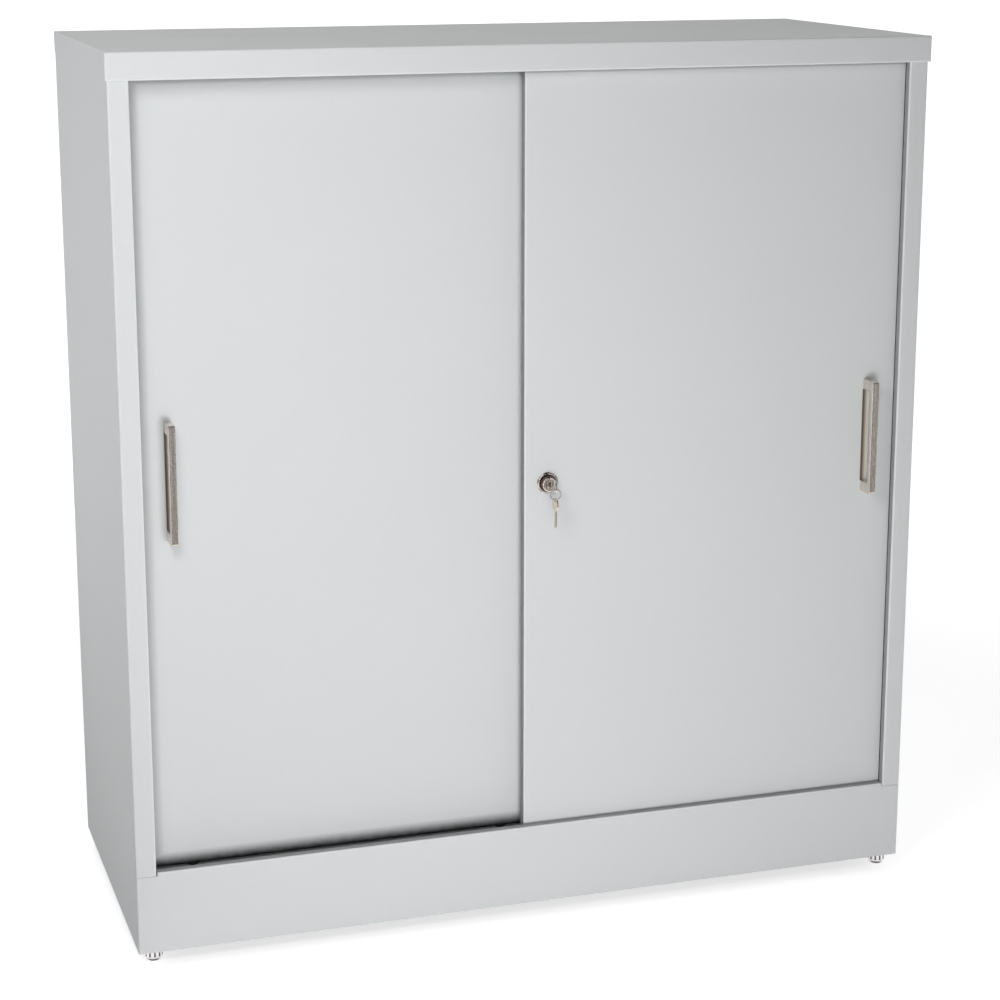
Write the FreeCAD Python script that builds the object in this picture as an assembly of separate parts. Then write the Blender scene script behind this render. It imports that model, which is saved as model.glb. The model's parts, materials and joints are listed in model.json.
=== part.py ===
import FreeCAD, Part
import math
import os

# Free-standing steel cabinet with two sliding doors on one pair of tracks.
# Millimetres, +Z up, the doors face -Y. Every piece is drawn with Y = 0 on the front
# face of the stiles and Z = 0 on the floor; save() then moves it along Y, so that the
# origin is under the middle of the whole cabinet.

# ---- carcass -------------------------------------------------------------------
WIDTH = 950.0            # over the side panels
DEPTH = 400.0            # stile face to the back of the side panels
BODY_HEIGHT = 1010.0     # plinth bottom to lid top
FOOT_HEIGHT = 15.0       # floor to plinth bottom
SHEET = 1.0              # carcass sheet
BEND = 2.2               # outer radius of a fold in the carcass and the doors
TIGHT_BEND = 1.3         # outer radius of a fold in a small pressing
BRACKET_BEND = 1.9       # outer radius of a fold in the brackets and uprights
OVERCUT = 1.0            # a hole's cutter past the metal it cuts
HEAD_CROWN = 0.7         # flat part of a screw head, as a share of its radius
STILE_WIDTH = 23.0
STILE_RETURN = 12.0      # fold behind the stile, beside the door
REAR_FLANGE = 20.0       # fold of the side panel over the back panel
HEM = 5.0                # fold along the bottom edges
LID_FASCIA = 30.0        # height of the lid's front
LID_PROUD = 3.5          # lid front ahead of the stiles
LID_SIDE_PROUD = 2.0     # lid front past each side
LID_EAR = 6.0            # how far the lid front wraps round the side
LID_FLANGE = 25.0        # fold of the lid over the back panel
HEADER_LIP = 10.0        # upturned edge inside the lid front
PLINTH_HEIGHT = 96.0
PLINTH_WRAP = 24.0       # fold of the plinth round the side
LEDGE = 12.0             # flat top of the plinth, ahead of the doors
LEDGE_LIP = 10.0
STILE_DROP = 4.0         # the stile stands this far below the ledge
SEAM = 0.4               # open joint between stile and plinth
NOTCH = 1.2              # relief beside the stile's foot
FLOOR_FLANGE = 25.0
BASE_RAIL_HEIGHT = 60.0
BASE_RAIL_TOP = 20.0

# ---- stiffeners under the lid and the floor ----------------------------------------
HAT_WIDTH = 60.0
HAT_DEPTH = 14.0
HAT_BRIM = 14.0
STIFFENER_SHEET = 0.9

# ---- doors and tracks ------------------------------------------------------------
DOOR_THICK = 14.0
DOOR_SHEET = 0.9
DOOR_RETURN = 12.0       # fold round the back edge of the door
DOOR_CLEAR = 2.0         # stile return to front door
DOOR_GAP = 9.0           # front door to rear door
DOOR_SINK = 7.0          # door foot below the ledge
DOOR_RISE = 12.0         # door head above the lid's lower edge
FRONT_DOOR_EDGE = -12.0  # meeting edge of the front door, from the cabinet's middle
REAR_DOOR_EDGE = 30.0    # meeting edge of the rear door
DOOR_STIFFENER_WIDTH = 34.0
DOOR_STIFFENER_BRIM = 18.0
STIFFENER_END_GAP = 12.0
TRACK_SHEET = 1.2
TRACK_LEG_SHEET = 1.0
TRACK_REAR_CLEAR = 4.0   # rear door to the track's rear wall
RAIL_WIDTH = 2.4
RAIL_HEIGHT = 5.0
ROLLER_R = 12.0
ROLLER_WIDTH = 6.0
ROLLER_GROOVE = 2.0
ROLLER_GROOVE_WIDTH = 3.4
ROLLER_STANDOUT = 6.0    # roller below the door foot
ROLLER_INSET = 62.0      # roller centre to door edge
RUN_CLEAR = 0.3          # between parts that roll or slide past each other
AXLE_R = 2.5
FIT_CLEAR = 0.1          # radial, shaft in bore
BRACKET_SHEET = 1.2
BRACKET_LENGTH = 32.0
BRACKET_FOOT = 8.0
BRACKET_HEAD = 3.0       # roller top to bracket web
SIDE_CLEAR = 0.5         # roller to bracket cheek
TRACK_LEG_DROP = 22.0    # upper track's legs below the lid
GUIDE_LENGTH = 36.0
GUIDE_HEIGHT = 11.0
GUIDE_CLEAR = 1.0
GUIDE_INSET = 44.0
GUIDE_PEG_R = 2.5
GUIDE_PEG_LENGTH = 5.0
BUMPER_THICK = 9.0
BUMPER_GAP = 0.5         # bumper to door edge
BUMPER_R = 6.0
BUMPER_INSET = 110.0     # bumper centre to door foot or head

# ---- handles ---------------------------------------------------------------------
HANDLE_INSET = 47.5      # handle centre to the door's outer edge
HANDLE_Z = 554.0         # handle centre above the floor
HANDLE_LENGTH = 136.5
HANDLE_PITCH = 124.0     # screw spacing
HANDLE_WIDTH = 8.5
HANDLE_REACH = 26.0
HANDLE_BAR = 6.0
HANDLE_LEG = 12.5
HANDLE_BASE = 1.6        # strip between the legs, against the door
HANDLE_ROUND = 2.5
HANDLE_INNER = 3.0
HANDLE_EDGE = 0.8
SCREW_R = 2.0
SCREW_HEAD_R = 3.8
SCREW_HEAD = 2.4
SCREW_GRIP = 9.0         # screw thread inside the handle

# ---- lock ------------------------------------------------------------------------
LOCK_INSET = 28.0        # lock centre to the front door's meeting edge
LOCK_Z = 525.0
BEZEL_R = 12.5
BEZEL_THICK = 2.5
BEZEL_BEVEL = 1.2        # width of the slope round the bezel
BEZEL_RIM = 1.0          # depth of that slope
BARREL_R = 10.8
BARREL_PAST_DOOR = 1.5   # lock barrel behind the front door
BARREL_BACK_WALL = 1.5
PLUNGER_R = 9.5
PLUNGER_STANDOUT = 7.6   # plunger face ahead of the bezel when unlocked
PLUNGER_TRAVEL = 7.0
PLUNGER_STOP = 0.5       # left between plunger and barrel when pressed in
PLUNGER_EDGE = 0.8
PIN_R = 3.5
PLUG_R = 5.6
PLUG_WALL = 1.0          # plunger metal behind the plug
LOCK_NUT_R = 14.0
LOCK_NUT_THICK = 4.0
LOCK_NUT_CORNER = 1.0
KEEP_WIDTH = 24.0
KEEP_HEIGHT = 44.0
KEEP_SHEET = 1.2
KEEP_BUSH_R = 7.0
KEEP_BUSH_CLEAR = 1.5    # bush to lock barrel
KEEP_HOLE_CLEAR = 0.8
KEEP_RIVET_R = 1.6
KEEP_RIVET_HEAD = 2.8
KEEP_RIVET_CROWN = 1.0
KEEP_RIVET_TAIL = 2.2
KEEP_RIVET_SPACING = 32.0

# ---- keys ------------------------------------------------------------------------
KEY_THICK = 1.8
KEY_BOW_R = 8.0
KEY_HOLE_R = 2.0
KEY_HOLE_OFFSET = 4.4    # hole centre to bow centre
KEY_BLADE = 20.0         # bow edge to key tip
KEY_BLADE_WIDTH = 5.0
KEY_SHOWN = 6.0          # blade between plug and bow
KEY_BITS = (4.2, 7.0, 9.8, 12.6)   # key tip to the middle of each cut
KEY_BIT_CUT = 1.1
KEY_BIT_R = 1.0
KEYWAY_CLEAR = 0.3
RING_R = 6.3
RING_WIRE_R = 0.7

# ---- shelves ---------------------------------------------------------------------
UPRIGHT_DEPTH = 12.0
UPRIGHT_WIDTH = 24.0
UPRIGHT_SHEET = 1.2
UPRIGHT_FRONT_GAP = 10.0  # track to front upright
UPRIGHT_REAR_GAP = 8.0    # back panel to rear upright
UPRIGHT_LIFT = 8.0        # floor panel to the upright's foot
SLOT_WIDTH = 4.0
SLOT_HEIGHT = 12.0
SLOT_PITCH = 25.0
SLOT_START = 24.0         # floor panel to first slot
SHELF_SLOTS = (("lower", 10), ("upper", 22))
SHELF_HEIGHT = 25.0
SHELF_HEM = 10.0
SHELF_SIDE_GAP = 2.5      # shelf to upright
SHELF_FRONT_GAP = 4.0     # track to shelf
SHELF_BACK_GAP = 2.0
CLIP_WIDTH = 12.0
CLIP_SHEET = 1.5
CLIP_TAB = 14.0
CLIP_TONGUE = 4.0
CLIP_END = 6.0
CLIP_REST = 0.1           # coat of paint between clip and shelf

# ---- feet ------------------------------------------------------------------------
FOOT_INSET_X = 19.0
FOOT_INSET_FRONT = 18.0
FOOT_INSET_REAR = 24.0
FOOT_R = 11.0
FOOT_COLLAR = 10.5
FOOT_LOW_R = 7.6
FOOT_TOP = 1.5            # collar above the plinth's bottom edge
FOOT_EDGE = 1.0           # bevel round the collar's top
FOOT_NECK = 1.2           # bevel below the collar
FLUTES = 12
FLUTE_R = 1.5
FLUTE_CENTRE = 0.8        # flute centre outside the collar
SOLE_R = 6.4
SOLE_THICK = 3.0
SOLE_SHOWN = 1.0
STUD_R = 4.0
STUD_LENGTH = 30.0
FOOT_PLATE = 44.0
FOOT_PLATE_SHEET = 2.0
FOOT_PLATE_UPSTAND = 28.0
FOOT_PLATE_GAP = 0.5      # collar to plate
NUT_FLATS = 13.0
NUT_HEIGHT = 6.5

# ---- back panel screws -----------------------------------------------------------
BACK_SCREWS = 5           # down each side
BACK_SCREW_TOP = 70.0     # lid top to the highest screw
BACK_SCREW_R = 1.9
BACK_SCREW_HEAD_R = 4.0
BACK_SCREW_HEAD = 2.2
BACK_SCREW_LENGTH = 7.0

# ---- places worked out from the sizes ----------------------------------------------
half = WIDTH / 2
z_base = FOOT_HEIGHT
z_ledge = z_base + PLINTH_HEIGHT
z_top = z_base + BODY_HEIGHT
z_head = z_top - LID_FASCIA
z_stile = z_ledge - STILE_DROP
opening = half - STILE_WIDTH
inner = half - SHEET
inner_flat = half - BEND               # where the side panel's bends are over
y_front_door = STILE_RETURN + DOOR_CLEAR
y_rear_door = y_front_door + DOOR_THICK + DOOR_GAP
y_track_end = y_rear_door + DOOR_THICK + TRACK_REAR_CLEAR
y_floor = y_track_end + TRACK_SHEET
y_back = DEPTH - SHEET                 # back panel's rear face
y_inside = y_back - SHEET              # back panel's inner face
z_door = z_ledge - DOOR_SINK
z_door_top = z_head + DOOR_RISE
door_end = inner - BUMPER_THICK - BUMPER_GAP
handle_x = door_end - HANDLE_INSET
z_axle = z_door - ROLLER_STANDOUT + ROLLER_R
z_rail = z_axle - ROLLER_R + ROLLER_GROOVE - RUN_CLEAR
z_track = z_rail - RAIL_HEIGHT         # top of the lower track's base
lock_x = FRONT_DOOR_EDGE + LOCK_INSET
y_bezel = y_front_door - BEZEL_THICK
y_plunger = y_bezel - PLUNGER_STANDOUT
y_barrel = y_front_door + DOOR_THICK + BARREL_PAST_DOOR
y_plunger_back = y_barrel - BARREL_BACK_WALL - PLUNGER_TRAVEL - PLUNGER_STOP
y_plug_back = y_plunger_back - PLUG_WALL
y_key_bow = y_plunger - KEY_SHOWN - KEY_BOW_R
handle_front = y_front_door - HANDLE_REACH
y_key_hole = y_key_bow - KEY_HOLE_OFFSET
y_lid_back = DEPTH + BEND              # lid's rear fold clears the side panel's bend
reach_front = min(y_key_hole - KEY_BOW_R, handle_front, -LID_PROUD)
reach_back = max(y_lid_back, DEPTH + BACK_SCREW_HEAD)
y_shift = -(reach_front + reach_back) / 2
shelf_half = inner - UPRIGHT_DEPTH - SHELF_SIDE_GAP
upright_y = (y_floor + UPRIGHT_FRONT_GAP, y_inside - UPRIGHT_REAR_GAP - UPRIGHT_WIDTH)
z_foot_top = z_base + FOOT_TOP


# ---- drawing helpers -------------------------------------------------------------
def save(name, *solids):
    """Write one node, moved to the cabinet's own frame."""
    shape = solids[0] if len(solids) == 1 else Part.makeCompound(list(solids))
    shape = shape.copy()
    shape.translate(FreeCAD.Vector(0, y_shift, 0))
    shape.exportStep(f"parts/{name}.step")


def box(x0, x1, y0, y1, z0, z1):
    corner = FreeCAD.Vector(min(x0, x1), min(y0, y1), min(z0, z1))
    return Part.makeBox(abs(x1 - x0), abs(y1 - y0), abs(z1 - z0), corner)


def rod(axis, start, radius, length):
    """Cylinder from a point along "x", "y" or "z"."""
    direction = FreeCAD.Vector(*(1 if axis == name else 0 for name in "xyz"))
    return Part.makeCylinder(radius, length, FreeCAD.Vector(*start), direction)


def join(first, *others):
    return first.fuse(list(others)).removeSplitter()


def carve(body, *tools):
    return body.cut(list(tools)).removeSplitter() if tools else body


def spot(plane, u, v, w=0.0):
    """A point of a section plane: u and v in the plane, w along its normal."""
    places = {"xy": (u, v, w), "yz": (w, u, v), "xz": (u, w, v)}
    return FreeCAD.Vector(*places[plane])


def unit(a, b):
    length = math.hypot(b[0] - a[0], b[1] - a[1])
    return (b[0] - a[0]) / length, (b[1] - a[1]) / length


def inset(points, distance):
    """The open line moved sideways, to its left, with mitred corners."""
    moved = []
    for i, (u, v) in enumerate(points):
        before = unit(points[max(i - 1, 0)], points[max(i, 1)])
        last = len(points) - 1
        after = unit(points[min(i, last - 1)], points[min(i + 1, last)])
        across = (-before[1] - after[1], before[0] + after[0])
        scale = distance * 2 / (across[0] ** 2 + across[1] ** 2)
        moved.append((u + across[0] * scale, v + across[1] * scale))
    return moved


def sheet(points, thick, radius, plane, start, end):
    """Folded sheet. points run along its outer face and the metal is on their left."""
    line = inset(points, thick / 2)
    sides = {thick / 2: [], -thick / 2: []}
    middle_radius = radius - thick / 2
    for side, run in sides.items():
        first = unit(line[0], line[1])
        here = (line[0][0] - first[1] * side, line[0][1] + first[0] * side)
        for i in range(1, len(line) - 1):
            into = unit(line[i - 1], line[i])
            out = unit(line[i], line[i + 1])
            turn = math.atan2(into[0] * out[1] - into[1] * out[0],
                              into[0] * out[0] + into[1] * out[1])
            hand = math.copysign(1, turn)
            back = middle_radius * math.tan(abs(turn) / 2)
            enter = (line[i][0] - into[0] * back, line[i][1] - into[1] * back)
            centre = (enter[0] - into[1] * hand * middle_radius,
                      enter[1] + into[0] * hand * middle_radius)
            bend = middle_radius - side * hand
            arc_in = (enter[0] - into[1] * side, enter[1] + into[0] * side)
            leave = (line[i][0] + out[0] * back, line[i][1] + out[1] * back)
            arc_out = (leave[0] - out[1] * side, leave[1] + out[0] * side)
            crown = unit(centre, line[i])
            arc_mid = (centre[0] + crown[0] * bend, centre[1] + crown[1] * bend)
            run.append(("line", here, arc_in))
            run.append(("arc", arc_in, arc_mid, arc_out))
            here = arc_out
        last = unit(line[-2], line[-1])
        tip = (line[-1][0] - last[1] * side, line[-1][1] + last[0] * side)
        run.append(("line", here, tip))
    left, right = sides[thick / 2], sides[-thick / 2]
    caps = [("line", left[-1][-1], right[-1][-1]), ("line", right[0][1], left[0][1])]
    edges = []
    for kind, *places in left + right + caps:
        at = [spot(plane, u, v, start) for u, v in places]
        edges.append(Part.makeLine(*at) if kind == "line" else Part.Arc(*at).toShape())
    wire = Part.Wire(Part.__sortEdges__(edges))
    return Part.Face(wire).extrude(spot(plane, 0, 0, end - start))


def plate(points, radii, plane, start, end):
    """Flat piece with an outline of rounded corners; radii is one value or a list."""
    if not isinstance(radii, (list, tuple)):
        radii = [radii] * len(points)
    edges = []
    ends = []
    for i, corner in enumerate(points):
        into = unit(points[i - 1], corner)
        out = unit(corner, points[(i + 1) % len(points)])
        cross = into[0] * out[1] - into[1] * out[0]
        turn = math.atan2(cross, into[0] * out[0] + into[1] * out[1])
        back = radii[i] * math.tan(abs(turn) / 2)
        a = (corner[0] - into[0] * back, corner[1] - into[1] * back)
        b = (corner[0] + out[0] * back, corner[1] + out[1] * back)
        ends.append((a, b))
        if radii[i] > 0:
            hand = math.copysign(1, turn)
            centre = (a[0] - into[1] * hand * radii[i], a[1] + into[0] * hand * radii[i])
            crown = unit(centre, corner)
            mid = (centre[0] + crown[0] * radii[i], centre[1] + crown[1] * radii[i])
            edges.append(Part.Arc(*[spot(plane, *p, start) for p in (a, mid, b)]).toShape())
    for i in range(len(points)):
        a = spot(plane, *ends[i - 1][1], start)
        b = spot(plane, *ends[i][0], start)
        if a.distanceToPoint(b) > 1e-6:
            edges.append(Part.makeLine(a, b))
    wire = Part.Wire(Part.__sortEdges__(edges))
    return Part.Face(wire).extrude(spot(plane, 0, 0, end - start))


def turned(points, axis, centre):
    """Solid of revolution. points are (radius, place along the axis)."""
    direction = FreeCAD.Vector(*(1 if axis == name else 0 for name in "xyz"))
    plane = "yz" if axis == "z" else "xy"
    flat = [(p, r) if axis == "x" else (r, p) for r, p in points]
    corners = [spot(plane, u, v) for u, v in flat]
    wire = Part.makePolygon(corners + corners[:1])
    solid = Part.Face(wire).revolve(FreeCAD.Vector(0, 0, 0), direction, 360)
    solid = solid if solid.Volume > 0 else solid.reversed()
    solid.translate(FreeCAD.Vector(*centre))
    return solid


def mirrored(shape):
    return shape.mirror(FreeCAD.Vector(0, 0, 0), FreeCAD.Vector(1, 0, 0))


# ---- carcass -----------------------------------------------------------------------
def side_panel():
    """Left side: stile and return in front, flange behind, hem below."""
    stile_edge = -opening
    upper = sheet([(stile_edge, STILE_RETURN), (stile_edge, 0), (-half, 0), (-half, DEPTH),
                   (-half + REAR_FLANGE, DEPTH)][::-1],
                  SHEET, BEND, "xy", z_stile + SEAM, z_top - SHEET)
    lower = sheet([(-half + REAR_FLANGE, DEPTH), (-half, DEPTH), (-half, PLINTH_WRAP)],
                  SHEET, BEND, "xy", z_base, z_stile + SEAM)
    hem = box(-half + SHEET, -half + HEM, PLINTH_WRAP, y_inside - HEM, z_base, z_base + SHEET)
    return join(upper, lower, hem)


def back_screw_places():
    low = (z_base + BASE_RAIL_HEIGHT + z_ledge - FLOOR_FLANGE) / 2
    pitch = (z_top - BACK_SCREW_TOP - low) / (BACK_SCREWS - 1)
    for side in (-1, 1):
        for i in range(BACK_SCREWS):
            yield side * (half - REAR_FLANGE / 2), low + i * pitch


def back_screw_holes():
    length = 3 * SHEET
    return [rod("y", (x, DEPTH - length, z), BACK_SCREW_R, 2 * length)
            for x, z in back_screw_places()]


def back_screw(x, z):
    head = turned([(0, 0), (BACK_SCREW_HEAD_R, 0), (BACK_SCREW_HEAD_R, BACK_SCREW_HEAD / 3),
                   (BACK_SCREW_HEAD_R * HEAD_CROWN, BACK_SCREW_HEAD), (0, BACK_SCREW_HEAD)],
                  "y", (x, DEPTH, z))
    shank = rod("y", (x, DEPTH - BACK_SCREW_LENGTH, z), BACK_SCREW_R, BACK_SCREW_LENGTH)
    return join(head, shank)


def back_panel():
    return carve(box(-inner_flat, inner_flat, y_inside, y_back, z_base, z_top - SHEET),
                 *back_screw_holes())


def top_panel():
    """Lid: box front that wraps the corners, header fold inside it, flange behind."""
    wide = half + LID_SIDE_PROUD
    front = box(-wide, wide, -LID_PROUD, LID_EAR, z_head, z_top)
    rounded = [edge for edge in front.Edges
               if all(abs(vertex.Y + LID_PROUD) < 1e-6 for vertex in edge.Vertexes)]
    front = front.makeFillet(BEND, rounded)
    hollow = box(-half, half, SHEET - LID_PROUD, LID_EAR, z_head + SHEET, z_top - SHEET)
    under = box(-half, half, 0, LID_EAR, z_head, z_head + SHEET)
    front = carve(front, hollow, under)
    top = sheet([(y_lid_back, z_top - LID_FLANGE), (y_lid_back, z_top), (0, z_top)],
                SHEET, BEND, "yz", -half, half)
    header = sheet([(0, z_head), (LEDGE, z_head), (LEDGE, z_head + HEADER_LIP)],
                   SHEET, TIGHT_BEND, "yz", -opening, opening)
    return join(front, top, header)


def hat(plane, middle, face, reach, width, brim, thick, start, end):
    """Hat section whose brims lie on face and whose crown is reach away from it."""
    outer = width / 2 + brim
    step = math.copysign(1, reach)
    line = [(-outer, 0), (-width / 2, 0), (-width / 2, reach), (width / 2, reach),
            (width / 2, 0), (outer, 0)]
    points = [(middle + u, face + v) for u, v in line]
    points = points if step < 0 else points[::-1]
    return sheet(points, thick, TIGHT_BEND, plane, start, end)


def top_stiffener():
    middle = (y_floor + y_inside) / 2
    return hat("yz", middle, z_top - SHEET - STIFFENER_SHEET, STIFFENER_SHEET - HAT_DEPTH,
               HAT_WIDTH, HAT_BRIM, STIFFENER_SHEET, -inner, inner)


def floor_stiffener():
    middle = (y_floor + y_inside) / 2
    return hat("yz", middle, z_ledge - SHEET - STIFFENER_SHEET, STIFFENER_SHEET - HAT_DEPTH,
               HAT_WIDTH, HAT_BRIM, STIFFENER_SHEET, TIGHT_BEND - inner, inner - TIGHT_BEND)


def floor_panel():
    low = z_ledge - FLOOR_FLANGE
    deep = sheet([(y_floor, low), (y_floor, z_ledge), (y_inside, z_ledge), (y_inside, low)][::-1],
                 SHEET, TIGHT_BEND, "yz", SHEET - inner, inner - SHEET)
    wide = sheet([(-inner, low), (-inner, z_ledge), (inner, z_ledge), (inner, low)][::-1],
                 SHEET, TIGHT_BEND, "xz", y_floor + BEND, y_inside - BEND)
    return join(deep, wide)


def plinth_front():
    """Full-width base front that wraps both sides; its top is the ledge under the doors."""
    middle = opening - NOTCH
    wrap = sheet([(-half, PLINTH_WRAP), (-half, 0), (half, 0), (half, PLINTH_WRAP)],
                 SHEET, BEND, "xy", z_base, z_stile)
    ledge = sheet([(LEDGE, z_ledge - LEDGE_LIP), (LEDGE, z_ledge), (0, z_ledge),
                   (0, z_base + PLINTH_HEIGHT / 2)], SHEET, BEND, "yz", -middle, middle)
    hem = box(-inner, inner, SHEET, HEM, z_base, z_base + SHEET)
    return join(wrap, ledge, hem)


def rear_base_rail():
    top = z_base + BASE_RAIL_HEIGHT
    return sheet([(y_inside - HEM, z_base), (y_inside, z_base), (y_inside, top),
                  (y_inside - BASE_RAIL_TOP, top)], SHEET, TIGHT_BEND, "yz",
                 -inner_flat, inner_flat)


def lower_track():
    base = z_track - TRACK_SHEET
    channel = sheet([(LEDGE, z_ledge - LEDGE_LIP), (LEDGE, base), (y_floor, base),
                     (y_floor, z_ledge - TRACK_SHEET)], TRACK_SHEET, BEND, "yz", -inner, inner)
    rails = [box(-inner, inner, y - RAIL_WIDTH / 2, y + RAIL_WIDTH / 2, z_track, z_rail)
             for y in (door_middle(y_front_door), door_middle(y_rear_door))]
    return join(channel, *rails)


def upper_track_legs():
    """Front face of each of the three legs that the door guides run between."""
    between = y_front_door + DOOR_THICK + (DOOR_GAP - TRACK_LEG_SHEET) / 2
    return (LEDGE, between, y_track_end)


def upper_track():
    low = z_top - SHEET - TRACK_LEG_DROP
    web = box(-inner, inner, LEDGE, y_track_end + TRACK_LEG_SHEET,
              z_top - SHEET - TRACK_SHEET, z_top - SHEET)
    legs = [box(-inner, inner, y, y + TRACK_LEG_SHEET, low, z_top - SHEET)
            for y in upper_track_legs()]
    return join(web, *legs)


# ---- feet --------------------------------------------------------------------------
def corners():
    """Name and centre of each foot."""
    for depth_name, y in (("front", FOOT_INSET_FRONT), ("rear", DEPTH - FOOT_INSET_REAR)):
        for side_name, side in (("left", -1), ("right", 1)):
            yield f"{depth_name}_{side_name}", side * (half - FOOT_INSET_X), y


def foot_bracket(x, y):
    """Corner plate that carries the foot's nut, turned up against the side and the end."""
    side = math.copysign(1, x)
    front = y < DEPTH / 2
    wall = side * inner
    end = SHEET if front else y_inside - SHEET
    along = end + FOOT_PLATE if front else end - FOOT_PLATE
    low = z_foot_top + FOOT_PLATE_GAP
    thick = FOOT_PLATE_SHEET
    bend = thick + SHEET
    edge = wall - side * FOOT_PLATE
    floor = plate([(wall, end), (edge, end), (edge, along), (wall, along)], [bend, 0, 0, 0],
                  "xy", low, low + thick)
    line = [(edge, end), (wall, end), (wall, along)]
    line = line if front == (side > 0) else line[::-1]
    upstand = sheet(line, thick, bend, "xy", low, low + FOOT_PLATE_UPSTAND)
    hole = rod("z", (x, y, low - OVERCUT), STUD_R + FIT_CLEAR, thick + 2 * OVERCUT)
    return carve(join(floor, upstand), hole)


def foot_nut(x, y):
    low = z_foot_top + FOOT_PLATE_GAP + FOOT_PLATE_SHEET
    reach = NUT_FLATS / 2 / math.cos(math.pi / 6)
    ring = [(x + reach * math.cos(math.pi / 3 * i), y + reach * math.sin(math.pi / 3 * i))
            for i in range(6)]
    nut = plate(ring, 0, "xy", low, low + NUT_HEIGHT)
    hole = rod("z", (x, y, low - OVERCUT), STUD_R + FIT_CLEAR, NUT_HEIGHT + 2 * OVERCUT)
    return carve(nut, hole)


def foot(x, y):
    """Fluted collar that narrows to the floor, with its threaded stud."""
    collar_low = z_foot_top - FOOT_COLLAR
    cup_r = SOLE_R + 2 * FIT_CLEAR
    cup_top = SOLE_THICK + RUN_CLEAR
    outline = [(0, z_foot_top + STUD_LENGTH), (STUD_R, z_foot_top + STUD_LENGTH),
               (STUD_R, z_foot_top), (FOOT_R - FOOT_EDGE, z_foot_top),
               (FOOT_R, z_foot_top - FOOT_EDGE), (FOOT_R, collar_low),
               (FOOT_R - FOOT_NECK, collar_low - FOOT_NECK),
               (FOOT_LOW_R, SOLE_SHOWN), (cup_r, SOLE_SHOWN), (cup_r, cup_top), (0, cup_top)]
    body = turned(outline, "z", (x, y, 0))
    cuts = []
    for i in range(FLUTES):
        angle = 2 * math.pi * i / FLUTES
        place = (x + (FOOT_R + FLUTE_CENTRE) * math.cos(angle),
                 y + (FOOT_R + FLUTE_CENTRE) * math.sin(angle), collar_low)
        cuts.append(rod("z", place, FLUTE_R, FOOT_COLLAR + OVERCUT))
    return carve(body, *cuts)


def sole(x, y):
    return rod("z", (x, y, 0), SOLE_R, SOLE_THICK)


# ---- shelves -----------------------------------------------------------------------
def slot_z(number):
    return z_ledge + SLOT_START + number * SLOT_PITCH


def upright(y):
    """Left slotted channel, standing on the side panel."""
    face = UPRIGHT_DEPTH - inner
    low = z_ledge + UPRIGHT_LIFT
    high = z_head - UPRIGHT_SHEET
    channel = sheet([(-inner, y), (face, y), (face, y + UPRIGHT_WIDTH),
                     (-inner, y + UPRIGHT_WIDTH)], UPRIGHT_SHEET, BRACKET_BEND,
                    "xy", low, high)
    count = int((high - slot_z(0) - SLOT_HEIGHT) / SLOT_PITCH) + 1
    middle = y + UPRIGHT_WIDTH / 2
    slots = [box(face - 2 * UPRIGHT_SHEET, face + OVERCUT, middle - SLOT_WIDTH / 2,
                 middle + SLOT_WIDTH / 2, slot_z(i) - SLOT_HEIGHT / 2,
                 slot_z(i) + SLOT_HEIGHT / 2) for i in range(count)]
    return carve(channel, *slots)


def clip_rest_z(slot):
    """Top of the tab of a clip that hangs in this slot and the next one up."""
    return slot_z(slot) + SLOT_PITCH / 2


def clip(y, slot):
    face = UPRIGHT_DEPTH - inner
    middle = y + UPRIGHT_WIDTH / 2
    near, far = middle - CLIP_WIDTH / 2, middle + CLIP_WIDTH / 2
    rest = clip_rest_z(slot)
    body = box(face, face + CLIP_SHEET, near, far, slot_z(slot) - CLIP_END,
               slot_z(slot + 1) + CLIP_END)
    tab = box(face, face + CLIP_TAB, near, far, rest - CLIP_SHEET, rest)
    tongue_y = SLOT_WIDTH / 2 - RUN_CLEAR
    tongue_z = SLOT_HEIGHT / 2 - 2 * RUN_CLEAR
    tongues = [box(face - CLIP_TONGUE, face, middle - tongue_y, middle + tongue_y,
                   slot_z(n) - tongue_z, slot_z(n) + tongue_z) for n in (slot, slot + 1)]
    return join(body, tab, *tongues)


def shelf(slot):
    low = clip_rest_z(slot) + CLIP_REST
    high = low + SHELF_HEIGHT
    front = y_floor + SHELF_FRONT_GAP
    back = y_inside - SHELF_BACK_GAP
    wide = sheet([(SHELF_HEM - shelf_half, low), (-shelf_half, low), (-shelf_half, high),
                  (shelf_half, high), (shelf_half, low), (shelf_half - SHELF_HEM, low)][::-1],
                 SHEET, TIGHT_BEND, "xz", front + BEND, back - BEND)
    deep = sheet([(front + SHELF_HEM, low), (front, low), (front, high), (back, high),
                  (back, low), (back - SHELF_HEM, low)][::-1],
                 SHEET, TIGHT_BEND, "yz", SHEET - shelf_half, shelf_half - SHEET)
    return join(wide, deep)


# ---- doors -------------------------------------------------------------------------
def door_middle(y):
    """Plane of a door's rollers, for the door whose face is at y."""
    return y + DOOR_THICK / 2


def door_span(y):
    """Left and right edges of the door whose face is at y."""
    if y == y_front_door:
        return FRONT_DOOR_EDGE, door_end
    return -door_end, REAR_DOOR_EDGE


def roller_places(y):
    left, right = door_span(y)
    return left + ROLLER_INSET, right - ROLLER_INSET


def guide_places(y):
    left, right = door_span(y)
    return left + GUIDE_INSET, right - GUIDE_INSET


def handle_screw_places():
    return HANDLE_Z - HANDLE_PITCH / 2, HANDLE_Z + HANDLE_PITCH / 2


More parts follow.
